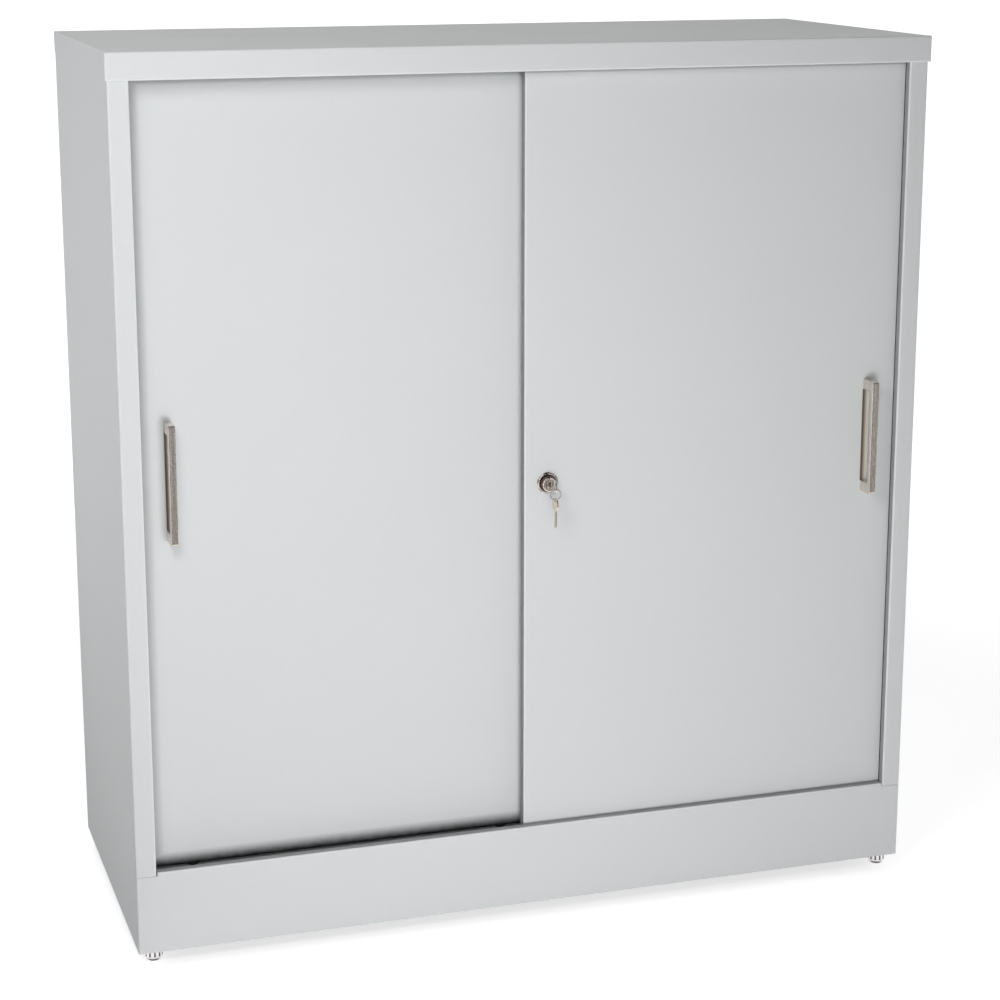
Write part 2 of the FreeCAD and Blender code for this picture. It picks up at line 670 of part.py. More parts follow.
def door_panel(y, pull_x, extra_cuts):
    """Pan with folded edges and returns, open at the back between the returns."""
    left, right = door_span(y)
    back = y + DOOR_THICK
    tall = sheet([(left + DOOR_RETURN, back), (left, back), (left, y), (right, y),
                  (right, back), (right - DOOR_RETURN, back)],
                 DOOR_SHEET, BEND, "xy", z_door, z_door_top)
    wide = sheet([(back, z_door + DOOR_RETURN), (back, z_door), (y, z_door), (y, z_door_top),
                  (back, z_door_top), (back, z_door_top - DOOR_RETURN)][::-1],
                 DOOR_SHEET, BEND, "yz", left + BEND, right - BEND)
    cuts = list(extra_cuts)
    middle = door_middle(y)
    slot_half = ROLLER_WIDTH / 2 + SIDE_CLEAR
    for x in roller_places(y):
        cuts.append(box(x - ROLLER_R - SIDE_CLEAR, x + ROLLER_R + SIDE_CLEAR,
                        middle - slot_half, middle + slot_half,
                        z_door - OVERCUT, z_door + DOOR_SHEET + OVERCUT))
    for x in guide_places(y):
        cuts.append(rod("z", (x, middle, z_door_top - DOOR_SHEET - OVERCUT), GUIDE_PEG_R,
                        DOOR_SHEET + 2 * OVERCUT))
    for z in handle_screw_places():
        cuts.append(rod("y", (pull_x, y - OVERCUT, z), SCREW_R, DOOR_SHEET + 2 * OVERCUT))
    return carve(join(tall, wide), *cuts)


def door_stiffener(y):
    left, right = door_span(y)
    reach = DOOR_THICK - 2 * DOOR_SHEET - RUN_CLEAR
    return hat("xy", (left + right) / 2, y + DOOR_SHEET + STIFFENER_SHEET,
               reach - STIFFENER_SHEET, DOOR_STIFFENER_WIDTH, DOOR_STIFFENER_BRIM,
               STIFFENER_SHEET, z_door + STIFFENER_END_GAP, z_door_top - STIFFENER_END_GAP)


def handle(x, y):
    """Bow pull on a thin base strip, drawn as a side outline and given its width."""
    low, high = HANDLE_Z - HANDLE_LENGTH / 2, HANDLE_Z + HANDLE_LENGTH / 2
    front = y - HANDLE_REACH
    near, far = x - HANDLE_WIDTH / 2, x + HANDLE_WIDTH / 2
    outer = plate([(y, low), (y, high), (front, high), (front, low)],
                  [0, 0, HANDLE_ROUND, HANDLE_ROUND], "yz", near, far)
    edges = [edge for edge in outer.Edges if edge.Length > HANDLE_REACH / 2
             and edge.BoundBox.XLength < 1e-6 and edge.BoundBox.YMin < y - 1e-6]
    outer = outer.makeFillet(HANDLE_EDGE, edges)
    gap = plate([(y - HANDLE_BASE, low + HANDLE_LEG), (y - HANDLE_BASE, high - HANDLE_LEG),
                 (front + HANDLE_BAR, high - HANDLE_LEG), (front + HANDLE_BAR, low + HANDLE_LEG)],
                [0, 0, HANDLE_INNER, HANDLE_INNER], "yz", near - OVERCUT, far + OVERCUT)
    taps = [rod("y", (x, y - SCREW_GRIP, z), SCREW_R, SCREW_GRIP + OVERCUT)
            for z in handle_screw_places()]
    return carve(outer, gap, *taps)


def handle_screws(x, y):
    """Pan-head screws from inside the door into the handle's legs."""
    seat = y + DOOR_SHEET
    screws = []
    for z in handle_screw_places():
        head = turned([(0, 0), (SCREW_HEAD_R, 0), (SCREW_HEAD_R, SCREW_HEAD / 2),
                       (SCREW_HEAD_R * HEAD_CROWN, SCREW_HEAD), (0, SCREW_HEAD)],
                      "y", (x, seat, z))
        shank = rod("y", (x, y - SCREW_GRIP, z), SCREW_R, SCREW_GRIP + DOOR_SHEET)
        screws.append(join(head, shank))
    return screws


def cheek_offset():
    """Roller plane to the outer face of a bracket's cheek."""
    return ROLLER_WIDTH / 2 + SIDE_CLEAR + BRACKET_SHEET


def roller_bracket(x, y):
    middle = door_middle(y)
    out = cheek_offset()
    seat = z_door + DOOR_SHEET
    high = z_axle + ROLLER_R + BRACKET_HEAD
    body = sheet([(middle - out, seat), (middle - out, high), (middle + out, high),
                  (middle + out, seat)][::-1], BRACKET_SHEET, BRACKET_BEND, "yz",
                 x - BRACKET_LENGTH / 2, x + BRACKET_LENGTH / 2)
    feet = [box(x + side * BRACKET_LENGTH / 2, x + side * (BRACKET_LENGTH / 2 + BRACKET_FOOT),
                middle - out, middle + out, seat, seat + BRACKET_SHEET) for side in (-1, 1)]
    bore = rod("y", (x, middle - out - OVERCUT, z_axle), AXLE_R, 2 * (out + OVERCUT))
    return carve(join(body, *feet), bore)


def roller_axle(x, y):
    out = cheek_offset()
    return rod("y", (x, door_middle(y) - out, z_axle), AXLE_R, 2 * out)


def roller(x, y):
    groove = ROLLER_R - ROLLER_GROOVE
    half_groove = ROLLER_GROOVE_WIDTH / 2
    half_width = ROLLER_WIDTH / 2
    bore = AXLE_R + FIT_CLEAR
    outline = [(bore, -half_width), (ROLLER_R, -half_width), (ROLLER_R, -half_groove),
               (groove, -half_groove), (groove, half_groove), (ROLLER_R, half_groove),
               (ROLLER_R, half_width), (bore, half_width)]
    return turned(outline, "y", (x, door_middle(y), z_axle))


def guide(x, y):
    """Nylon slider on the door's head, between two legs of the upper track."""
    legs = upper_track_legs()
    first = 0 if y == y_front_door else 1
    near = legs[first] + TRACK_LEG_SHEET + GUIDE_CLEAR
    far = legs[first + 1] - GUIDE_CLEAR
    middle = door_middle(y)
    block = plate([(x - GUIDE_LENGTH / 2, near), (x + GUIDE_LENGTH / 2, near),
                   (x + GUIDE_LENGTH / 2, far), (x - GUIDE_LENGTH / 2, far)], GUIDE_PEG_R,
                  "xy", z_door_top, z_door_top + GUIDE_HEIGHT)
    peg = rod("z", (x, middle, z_door_top - GUIDE_PEG_LENGTH), GUIDE_PEG_R, GUIDE_PEG_LENGTH)
    return join(block, peg)


def bumpers():
    """Rubber stops on the side panels, two for each door's outer edge."""
    stops = []
    for y, side in ((y_front_door, 1), (y_rear_door, -1)):
        for z in (z_door + BUMPER_INSET, z_door_top - BUMPER_INSET):
            start = inner - BUMPER_THICK if side > 0 else -inner
            stops.append(rod("x", (start, door_middle(y), z), BUMPER_R, BUMPER_THICK))
    return stops


# ---- lock --------------------------------------------------------------------------
def at_lock(y):
    return lock_x, y, LOCK_Z


def lock_housing():
    """Bevelled bezel on the door's face and the threaded barrel behind it."""
    bore = PLUNGER_R + FIT_CLEAR
    wall = y_barrel - BARREL_BACK_WALL
    pin_bore = PIN_R + FIT_CLEAR
    outline = [(bore, y_bezel), (BEZEL_R - BEZEL_BEVEL, y_bezel), (BEZEL_R, y_bezel + BEZEL_RIM),
               (BEZEL_R, y_front_door), (BARREL_R, y_front_door), (BARREL_R, y_barrel),
               (pin_bore, y_barrel), (pin_bore, wall), (bore, wall)]
    return turned(outline, "y", (lock_x, 0, LOCK_Z))


def lock_nut():
    low = y_front_door + DOOR_SHEET
    ring = [(lock_x + LOCK_NUT_R * math.cos(math.pi / 3 * i),
             LOCK_Z + LOCK_NUT_R * math.sin(math.pi / 3 * i)) for i in range(6)]
    nut = plate(ring, LOCK_NUT_CORNER, "xz", low, low + LOCK_NUT_THICK)
    return carve(nut, rod("y", at_lock(low - OVERCUT), BARREL_R, LOCK_NUT_THICK + 2 * OVERCUT))


def lock_plunger():
    """The part that is pressed in to lock: barrel with a blind seat for the plug, and pin."""
    pin_end = y_barrel - PLUNGER_STOP
    seat = PLUG_R + FIT_CLEAR
    outline = [(seat, y_plunger), (PLUNGER_R - PLUNGER_EDGE, y_plunger),
               (PLUNGER_R, y_plunger + PLUNGER_EDGE), (PLUNGER_R, y_plunger_back),
               (PIN_R, y_plunger_back), (PIN_R, pin_end - PLUNGER_EDGE),
               (PIN_R - PLUNGER_EDGE, pin_end), (0, pin_end), (0, y_plug_back + RUN_CLEAR),
               (seat, y_plug_back + RUN_CLEAR)]
    return turned(outline, "y", (lock_x, 0, LOCK_Z))


def key_tip_y():
    return y_key_bow + KEY_BOW_R + KEY_BLADE


def lock_plug():
    """Turns with the key; its keyway is open at the face."""
    body = rod("y", at_lock(y_plunger), PLUG_R, y_plug_back - y_plunger)
    thick = KEY_THICK / 2 + KEYWAY_CLEAR
    tall = KEY_BLADE_WIDTH / 2 + KEYWAY_CLEAR
    keyway = box(lock_x - thick, lock_x + thick, y_plunger - OVERCUT, key_tip_y() + KEYWAY_CLEAR,
                 LOCK_Z - tall, LOCK_Z + tall)
    return carve(body, keyway)


def flat_key():
    """Key lying along +Y from its bow at the origin, flat in the YZ plane."""
    near, far = -KEY_THICK / 2, KEY_THICK / 2
    bow = rod("x", (near, 0, 0), KEY_BOW_R, KEY_THICK)
    tip = KEY_BOW_R + KEY_BLADE
    wide = KEY_BLADE_WIDTH / 2
    blade = plate([(0, -wide), (tip - wide, -wide), (tip, 0), (tip - wide, wide), (0, wide)],
                  0, "yz", near, far)
    through = KEY_THICK + 2 * OVERCUT
    hole = rod("x", (near - OVERCUT, -KEY_HOLE_OFFSET, 0), KEY_HOLE_R, through)
    bits = [rod("x", (near - OVERCUT, tip - step, wide + KEY_BIT_R - KEY_BIT_CUT), KEY_BIT_R,
                through) for step in KEY_BITS]
    return carve(join(bow, blade), hole, *bits)


def key():
    shape = flat_key()
    shape.translate(FreeCAD.Vector(lock_x, y_key_bow, LOCK_Z))
    return shape


def hang():
    """How far a ring's wire lies off the centre of the hole it hangs in."""
    return KEY_HOLE_R - RING_WIRE_R - RUN_CLEAR


def ring_top_z():
    return LOCK_Z - hang()


def ring_bottom_z():
    return ring_top_z() - 2 * RING_R


def key_ring():
    centre = FreeCAD.Vector(lock_x, y_key_hole, ring_top_z() - RING_R)
    return Part.makeTorus(RING_R, RING_WIRE_R, centre, FreeCAD.Vector(0, 1, 0))


def spare_hole_z():
    return ring_bottom_z() - hang()


def spare_key():
    """Hangs from the ring by its hole, tip down."""
    shape = flat_key()
    shape.rotate(FreeCAD.Vector(0, 0, 0), FreeCAD.Vector(1, 0, 0), -90)
    shape.translate(FreeCAD.Vector(lock_x, y_key_hole, spare_hole_z() - KEY_HOLE_OFFSET))
    return shape


def keep_rivet_places():
    return LOCK_Z - KEEP_RIVET_SPACING / 2, LOCK_Z + KEEP_RIVET_SPACING / 2


def keep_rivet_holes():
    near = y_rear_door - KEEP_SHEET - OVERCUT
    length = KEEP_SHEET + DOOR_SHEET + 2 * OVERCUT
    return [rod("y", (lock_x, near, z), KEEP_RIVET_R, length) for z in keep_rivet_places()]


def lock_keep():
    """Plate on the rear door with a bush that the plunger's pin enters."""
    face = y_rear_door - KEEP_SHEET
    base = box(lock_x - KEEP_WIDTH / 2, lock_x + KEEP_WIDTH / 2, face, y_rear_door,
               LOCK_Z - KEEP_HEIGHT / 2, LOCK_Z + KEEP_HEIGHT / 2)
    mouth = y_barrel + KEEP_BUSH_CLEAR
    bush = rod("y", at_lock(mouth), KEEP_BUSH_R, face - mouth)
    bore = rod("y", at_lock(mouth - OVERCUT), PIN_R + KEEP_HOLE_CLEAR,
               y_rear_door - mouth + OVERCUT)
    return carve(join(base, bush), bore, *keep_rivet_holes())


def keep_rivets():
    face = y_rear_door - KEEP_SHEET
    rivets = []
    for z in keep_rivet_places():
        head = rod("y", (lock_x, face - KEEP_RIVET_CROWN, z), KEEP_RIVET_HEAD, KEEP_RIVET_CROWN)
        shank = rod("y", (lock_x, face, z), KEEP_RIVET_R, KEEP_SHEET + DOOR_SHEET)
        tail = rod("y", (lock_x, y_rear_door + DOOR_SHEET, z), KEEP_RIVET_TAIL,
                   KEEP_RIVET_CROWN)
        rivets.append(join(head, shank, tail))
    return rivets


# ---- write every node --------------------------------------------------------------
os.makedirs("parts", exist_ok=True)

left_side = carve(side_panel(), *back_screw_holes())
save("left_side_panel", left_side)
save("right_side_panel", mirrored(left_side))
save("back_panel", back_panel())
save("back_panel_screws", *[back_screw(x, z) for x, z in back_screw_places()])
save("top_panel", top_panel())
save("top_stiffener", top_stiffener())
save("floor_panel", floor_panel())
save("floor_stiffener", floor_stiffener())
save("plinth_front", plinth_front())
save("rear_base_rail", rear_base_rail())
save("lower_track", lower_track())
save("upper_track", upper_track())
save("door_bumpers", *bumpers())

save("foot_brackets", *[foot_bracket(x, y) for _, x, y in corners()])
save("foot_nuts", *[foot_nut(x, y) for _, x, y in corners()])
for name, x, y in corners():
    save(f"{name}_foot", foot(x, y))
    save(f"{name}_sole", sole(x, y))

for name, y in zip(("front", "rear"), upright_y):
    save(f"left_{name}_upright", upright(y))
    save(f"right_{name}_upright", mirrored(upright(y)))
for name, slot in SHELF_SLOTS:
    clips = [clip(y, slot) for y in upright_y]
    save(f"{name}_shelf_clips", *clips, *[mirrored(piece) for piece in clips])
    save(f"{name}_shelf", shelf(slot))

lock_hole = rod("y", at_lock(y_front_door - OVERCUT), BARREL_R, DOOR_SHEET + 2 * OVERCUT)
doors = (("left", y_rear_door, -handle_x, keep_rivet_holes()),
         ("right", y_front_door, handle_x, [lock_hole]))
for name, y, pull_x, cuts in doors:
    save(f"{name}_door_panel", door_panel(y, pull_x, cuts))
    save(f"{name}_door_stiffener", door_stiffener(y))
    save(f"{name}_handle", handle(pull_x, y))
    save(f"{name}_handle_screws", *handle_screws(pull_x, y))
    save(f"{name}_door_guides", *[guide(x, y) for x in guide_places(y)])
    save(f"{name}_roller_brackets", *[roller_bracket(x, y) for x in roller_places(y)])
    save(f"{name}_roller_axles", *[roller_axle(x, y) for x in roller_places(y)])
    for side, x in zip(("left", "right"), roller_places(y)):
        save(f"{name}_door_{side}_roller", roller(x, y))

save("lock_housing", lock_housing())
save("lock_nut", lock_nut())
save("lock_plunger", lock_plunger())
save("lock_plug", lock_plug())
save("key", key())
save("key_ring", key_ring())
save("spare_key", spare_key())
save("lock_keep", lock_keep())
save("lock_keep_rivets", *keep_rivets())
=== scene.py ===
# %% [markdown]
# # A steel cabinet with two sliding doors
# The cabinet is folded from painted sheet steel: a boxed lid, two sides that turn in as
# stiles, a plinth with a ledge, and two pan-shaped doors on rollers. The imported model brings
# every one of those parts in its true place and size. What is left for Blender is what the
# eye meets first: the paint, the plated metal, and the small turned, bent and stamped pieces.

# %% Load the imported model
import json
import math

import bmesh
import bpy
from mathutils import Matrix, Vector


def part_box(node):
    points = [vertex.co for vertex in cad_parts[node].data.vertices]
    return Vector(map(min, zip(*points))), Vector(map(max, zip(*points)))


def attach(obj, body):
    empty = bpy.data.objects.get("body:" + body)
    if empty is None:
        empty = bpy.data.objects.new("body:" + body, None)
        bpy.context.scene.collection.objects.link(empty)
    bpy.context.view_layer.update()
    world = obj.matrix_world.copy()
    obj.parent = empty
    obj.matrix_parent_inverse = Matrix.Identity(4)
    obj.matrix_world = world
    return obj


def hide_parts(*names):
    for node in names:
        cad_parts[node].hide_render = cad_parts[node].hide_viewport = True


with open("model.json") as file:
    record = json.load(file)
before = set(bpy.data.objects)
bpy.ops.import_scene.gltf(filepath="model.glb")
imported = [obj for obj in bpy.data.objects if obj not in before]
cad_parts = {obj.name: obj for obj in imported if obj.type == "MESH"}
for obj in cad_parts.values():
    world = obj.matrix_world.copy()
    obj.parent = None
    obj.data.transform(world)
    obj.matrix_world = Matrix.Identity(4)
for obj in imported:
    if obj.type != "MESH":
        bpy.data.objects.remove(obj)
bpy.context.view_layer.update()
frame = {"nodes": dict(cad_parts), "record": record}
parts = frame["nodes"]

# %% [markdown]
# ## Camera
# The cabinet is seen from a little above and from its left, at a distance that lets the
# horizontal edges close in gently. A long lens does that. The optical axis meets the picture
# slightly above its middle, which a small vertical shift gives, so the camera tips down less
# and the upright edges stay closer to upright.

# %% Camera
def new_object(name, data):
    made = bpy.data.objects.new(name, data)
    bpy.context.scene.collection.objects.link(made)
    return made


CAMERA_TURN, CAMERA_TIP = 17.84, 13.236      # degrees to the right, degrees down
camera = new_object("camera", bpy.data.cameras.new("camera"))
camera.data.sensor_width = 36.0
camera.data.lens = 85.456
camera.data.shift_y = -0.05
camera.location = (-0.8475, -2.6805, 1.1866)
camera.rotation_euler = (math.radians(90 - CAMERA_TIP), 0, math.radians(-CAMERA_TURN))
bpy.context.scene.camera = camera
bpy.context.scene.view_settings.view_transform = "Standard"
print("camera", round(camera.location.length, 2), "m from the foot of the cabinet")

# %% [markdown]
# ## Light
# A plain studio. A large soft lamp stands low in front of the doors, and a small one near the
# upper left corner. Both are close and nearly square on, so their light falls off towards the
# far top corner and the recessed door hardly has a shadow. A third lamp is for the left side,
# a fourth for the lid. The sky adds light from behind and from the right, where no lamp
# stands. The background is white to the camera, to mirrors and through glass, and doesn't
# light anything.

# %% Helpers for node trees
def feed(tree, value, socket):
    """Give an input its value: a link if the value is itself a socket."""
    if isinstance(value, bpy.types.NodeSocket):
        tree.links.new(value, socket)
    else:
        socket.default_value = value


def add_node(tree, kind, inputs=None, **settings):
    """A node of this kind with its properties set and its inputs fed."""
    node = tree.nodes.new(kind)
    for key, value in settings.items():
        setattr(node, key, value)
    for key, value in (inputs or {}).items():
        feed(tree, value, node.inputs[key])
    return node


def math_node(tree, operation, *values):
    """A Math node's result. Each value is a socket or a number."""
    return add_node(tree, "ShaderNodeMath", dict(enumerate(values)),
                    operation=operation).outputs[0]


def product(tree, first, *others):
    for other in others:
        first = math_node(tree, "MULTIPLY", first, other)
    return first


def mix_colour(tree, factor, first, second):
    return add_node(tree, "ShaderNodeMix", {0: factor, 6: first, 7: second},
                    data_type="RGBA").outputs[2]


def linear(*values):
    """Screen values 0 to 255 as the linear colour that Blender works in."""
    def one(value):
        share = value / 255
        return share / 12.92 if share <= 0.04045 else ((share + 0.055) / 1.055) ** 2.4
    return (*map(one, values), 1.0)


print("a screen grey of 128 is", round(linear(128)[0], 3), "in linear light")

# %% World
def seen_directly(tree):
    """1 for camera, mirror and glass rays, which should find a white surrounding."""
    path = add_node(tree, "ShaderNodeLightPath").outputs
    both = math_node(tree, "MAXIMUM", path["Is Camera Ray"], path["Is Glossy Ray"])
    return math_node(tree, "MAXIMUM", both, path["Is Transmission Ray"])


WHITE = (1.0, 1.0, 1.0, 1.0)
SKY_LOBES = (((0, 1, 0), 0.8), ((1, 0, 0), 0.64))        # direction, strength
world = bpy.data.worlds.new("studio_sky")
world.use_nodes = True
sky = world.node_tree
sky.nodes.clear()
direction = add_node(sky, "ShaderNodeTexCoord").outputs["Generated"]
level = 0.0
for towards, strength in SKY_LOBES:
    facing = add_node(sky, "ShaderNodeVectorMath", {0: direction, 1: towards},
                      operation="DOT_PRODUCT")
    lobe = math_node(sky, "MAXIMUM", facing.outputs["Value"], 0.0)
    level = math_node(sky, "MULTIPLY_ADD", lobe, strength, level)
lighting = add_node(sky, "ShaderNodeBackground", {"Color": WHITE, "Strength": level})
backdrop = add_node(sky, "ShaderNodeBackground", {"Color": WHITE, "Strength": 1.0})
chosen = add_node(sky, "ShaderNodeMixShader", {0: seen_directly(sky), 1: lighting.outputs[0],
                                               2: backdrop.outputs[0]})
add_node(sky, "ShaderNodeOutputWorld", {"Surface": chosen.outputs[0]})
bpy.context.scene.world = world
print(world.name, len(SKY_LOBES), "lobes")

# %% Lamps
# name, place, target, size in metres, watts
LAMPS = (("front_lamp", (-0.2, -1.7, 0.15), (-0.1, -0.19, 0.2), 0.7, 17.1),
         ("corner_lamp", (-0.75, -1.15, 1.3), (-0.42, -0.19, 0.9), 0.5, 5.9),
         ("side_lamp", (-1.5, 0.15, 0.68), (-0.475, 0.1, 0.62), 0.6, 3.0),
         ("top_lamp", (-0.9, 0.2, 2.5), (-0.2, 0.0, 1.0), 1.2, 4.0))
for name, place, target, size, power in LAMPS:
    lamp = new_object(name, bpy.data.lights.new(name, "AREA"))
    lamp.data.size = size
    lamp.data.energy = power
    lamp.visible_camera = lamp.visible_glossy = False
    lamp.location = place
    direction = Vector(target) - Vector(place)
    lamp.rotation_euler = direction.to_track_quat("-Z", "Y").to_euler()
    print(name, power, "W from", round(direction.length, 2), "m")

# %% [markdown]
# ## Floor
# The floor is matt and pale. For the camera it also glows just enough to turn white, so only
# the cabinet's own shadow is left to be seen on it. Further out it glows fully, and its far
# edge melts into the white behind it. To the light that bounces off it, a strip of the floor
# beside the cabinet is as dark as a grey cloth, which keeps the foot of the left side in shade.

# %% Floor
FLOOR_HALF = 30.0
GLOW_NEAR, GLOW_FAR = 0.65, 1.0         # strengths close to the cabinet and well away from it
GLOW_START, GLOW_END = 0.9, 2.4         # metres from the cabinet's middle
FLOOR_GREY, CLOTH_GREY = (0.8, 0.8, 0.8, 1.0), (0.2, 0.2, 0.2, 1.0)
CLOTH_MIDDLE, CLOTH_HALF = -0.68, 0.19


def object_place(tree):
    return add_node(tree, "ShaderNodeTexCoord").outputs["Object"]


def axes(tree, vector):
    """The X, Y and Z of a vector, each as a socket."""
    return add_node(tree, "ShaderNodeSeparateXYZ", {0: vector}).outputs


def bare_material(name):
    """A material with an empty tree, and that tree."""
    made = bpy.data.materials.new(name)
    made.use_nodes = True
    made.node_tree.nodes.clear()
    return made, made.node_tree


def four_corners(name, corners, material):
    """One flat face as an object that isn't part of the cabinet."""
    mesh = bpy.data.meshes.new(name)
    mesh.from_pydata(corners, [], [(0, 1, 2, 3)])
    mesh.materials.append(material)
    made = new_object(name, mesh)
    return made


pale_floor, tree = bare_material("pale_floor")
seen = seen_directly(tree)
place = object_place(tree)
cloth = math_node(tree, "COMPARE", axes(tree, place)["X"], CLOTH_MIDDLE, CLOTH_HALF)
cloth = product(tree, cloth, math_node(tree, "SUBTRACT", 1.0, seen))
matt = add_node(tree, "ShaderNodeBsdfDiffuse",
                {"Color": mix_colour(tree, cloth, FLOOR_GREY, CLOTH_GREY)})
distance = add_node(tree, "ShaderNodeVectorMath", {0: place}, operation="LENGTH")
spread = add_node(tree, "ShaderNodeMapRange",
                  {"Value": distance.outputs["Value"], "From Min": GLOW_START,
                   "From Max": GLOW_END, "To Min": GLOW_NEAR, "To Max": GLOW_FAR},
                  interpolation_type="SMOOTHSTEP")
glow = add_node(tree, "ShaderNodeEmission",
                {"Color": WHITE, "Strength": product(tree, seen, spread.outputs[0])})
both = add_node(tree, "ShaderNodeAddShader", {0: matt.outputs[0], 1: glow.outputs[0]})
add_node(tree, "ShaderNodeOutputMaterial", {"Surface": both.outputs[0]})
four_corners("floor", [(x * FLOOR_HALF, y * FLOOR_HALF, 0)
                       for x, y in ((-1, -1), (1, -1), (1, 1), (-1, 1))], pale_floor)
print("floor", 2 * FLOOR_HALF, "m wide")

# %% [markdown]
# ## Shared finishes
# Each effect is a node group that is built once: the skin of a powder coat, dust that settles
# on what faces up, painted shade where the doors meet the shell, painted dark reflections in
# hollows of chrome, the drawn grain of brushed metal, and the faint smears of handled plating.
# They give colours, roughness and heights; the shader itself stays in each material.

# %% Group builder
GREY = (0.6, 0.6, 0.6, 1.0)


def new_group(name, outputs, **inputs):
    """A shader group, its inputs and its output node. Underscores stand for spaces.

    A number makes a value socket and a tuple a colour. Color and Tone are colours too."""
    tree = bpy.data.node_groups.new(name, "ShaderNodeTree")
    for label, value in inputs.items():
        kind = "NodeSocketColor" if isinstance(value, tuple) else "NodeSocketFloat"
        socket = tree.interface.new_socket(label.replace("_", " "), in_out="INPUT",
                                           socket_type=kind)
        socket.default_value = value
    for label in outputs:
        kind = "NodeSocketColor" if label in ("Color", "Tone") else "NodeSocketFloat"
        tree.interface.new_socket(label, in_out="OUTPUT", socket_type=kind)
    return tree, add_node(tree, "NodeGroupInput").outputs, add_node(tree, "NodeGroupOutput")


def close_group(tree, result, **values):
    for label, value in values.items():
        feed(tree, value, result.inputs[label])
    print("group", tree.name, len(tree.nodes), "nodes")


def noise(tree, scale, detail=2.0, roughness=0.5, stretch=None):
    """Noise on Object coordinates, drawn out along an axis where stretch is low."""
    place = object_place(tree)
    if stretch:
        place = add_node(tree, "ShaderNodeMapping",
                         {"Vector": place, "Scale": stretch}).outputs["Vector"]
    texture = add_node(tree, "ShaderNodeTexNoise",
                       {"Vector": place, "Scale": scale, "Detail": detail,
                        "Roughness": roughness})
    return texture.outputs["Fac"]


def centred(tree, value, amount):
    """Noise moved to swing round 0, times an amount."""
    return product(tree, math_node(tree, "SUBTRACT", value, 0.5), amount)


def brighten(tree, colour, amount):
    """The colour times 1 + amount."""
    times = math_node(tree, "ADD", amount, 1.0)
    return add_node(tree, "ShaderNodeVectorMath", {0: colour, "Scale": times},
                    operation="SCALE").outputs[0]


def total(tree, first, *others):
    for other in others:
        first = math_node(tree, "ADD", first, other)
    return first


# %% Powder coat
powder, given, result = new_group(
    "powder_coat", ("Color", "Roughness", "Height"), Tone=GREY, Grain=0.05, Cloud=0.03,
    Mottle=0.03, Roughness=0.5, Peel_Scale=420.0)
peel = noise(powder, given["Peel Scale"], detail=1.5)
pellets = noise(powder, 1500.0, detail=1.0)
cloud = noise(powder, 2.6, detail=3.0)
swing = total(powder, centred(powder, pellets, given["Grain"]),
              centred(powder, cloud, given["Cloud"]), centred(powder, peel, given["Mottle"]))
close_group(powder, result, Color=brighten(powder, given["Tone"], swing),
            Roughness=total(powder, given["Roughness"], centred(powder, cloud, 0.12)),
            Height=total(powder, peel, product(powder, pellets, 0.35)))

# %% Dust on what faces up
def surface_normal(tree):
    return add_node(tree, "ShaderNodeNewGeometry").outputs["Normal"]


def step_mask(tree, value, zero, one):
    """0 where the value is at the first number, 1 where it is at the second, eased between."""
    ends = (0.0, 1.0) if zero < one else (1.0, 0.0)
    return add_node(tree, "ShaderNodeMapRange",
                    {"Value": value, "From Min": min(zero, one), "From Max": max(zero, one),
                     "To Min": ends[0], "To Max": ends[1]},
                    interpolation_type="SMOOTHSTEP").outputs[0]


dusting, given, result = new_group("settled_dust", ("Color", "Roughness"), Color=GREY,
                                   Roughness=0.5, Amount=0.3)
upward = step_mask(dusting, axes(dusting, surface_normal(dusting))["Z"], 0.75, 0.98)
laid = product(dusting, noise(dusting, 9.0, detail=6.0), upward, given["Amount"])
close_group(dusting, result,
            Color=mix_colour(dusting, laid, given["Color"], linear(176, 172, 165)),
            Roughness=total(dusting, given["Roughness"], product(dusting, laid, 0.4)))

# %% [markdown]
# Shade is painted where two parts nearly touch and little light reaches: on the reveals round
# the door opening, in the corners beside each door, along the foot and head of the doors, and
# beside the left stile. Every mask is worked out from the place on the cabinet, so it follows
# the parts and not the light. Bends get a painted highlight, a little brighter than the flat
# sheet.

# %% Where the painted shade lies
def middle(name):
    low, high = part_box(name)
    return (low + high) / 2


def fading(tree, value, full, gone):
    """1 at one place and 0 at the other, straight between them; either may be a socket."""
    return add_node(tree, "ShaderNodeMapRange", {"Value": value, "From Min": full,
                                                 "From Max": gone, "To Min": 1.0,
                                                 "To Max": 0.0}).outputs[0]


# All in metres. Each pair is where a mask is 0 and where it is 1.
LEDGE_Z, HEAD_Z, OPENING = 0.111, 0.995, 0.452    # edges of the door opening
PAST_EDGE = (0.003, 0.0015)                       # beyond those edges
BEHIND_STILE = (0.0008, 0.0030)                   # behind the stiles' front face
DEEP_INSIDE = (0.080, 0.060)
BESIDE_DOOR = (-0.01, 0.01)                       # along X, from the front door's free edge
BEFORE_FRONT_DOOR, BEFORE_REAR_DOOR = (-0.0055, -0.0030), (-0.005, -0.002)
SIDEWAYS = (0.45, 0.05)                           # share of the normal that lies along Y
BEND_SIDE, BEND_FRONT = (0.15, 0.35), (0.985, 0.93)
rear_door, front_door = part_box("left_door_panel")[0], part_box("right_door_panel")[0]
stile_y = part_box("right_side_panel")[0].y         # front face of the stiles
print("stile", round(stile_y, 4), "front door", round(front_door.y, 4), "rear door",
      round(rear_door.y, 4))

# %% Painted shade in the recesses
# This group paints shade into the paint where shade falls, and a highlight on the bends.
painted_shading, given, result = new_group(
    "recess_grime", ("Color",), Color=GREY, Sides=0.5, Foot=0.0, Foot_Height=0.006, Head=0.0,
    Head_Height=0.003, Edge=0.0, Bend=0.15)
x, y, z = axes(painted_shading, object_place(painted_shading))
frontal = math_node(painted_shading, "ABSOLUTE", axes(painted_shading, surface_normal(painted_shading))["Y"])


def off_edge(value, edge, distances, way=1):
    """A mask from one distance to another off an edge, towards higher values or lower."""
    return step_mask(painted_shading, value, *[edge + way * distance for distance in distances])


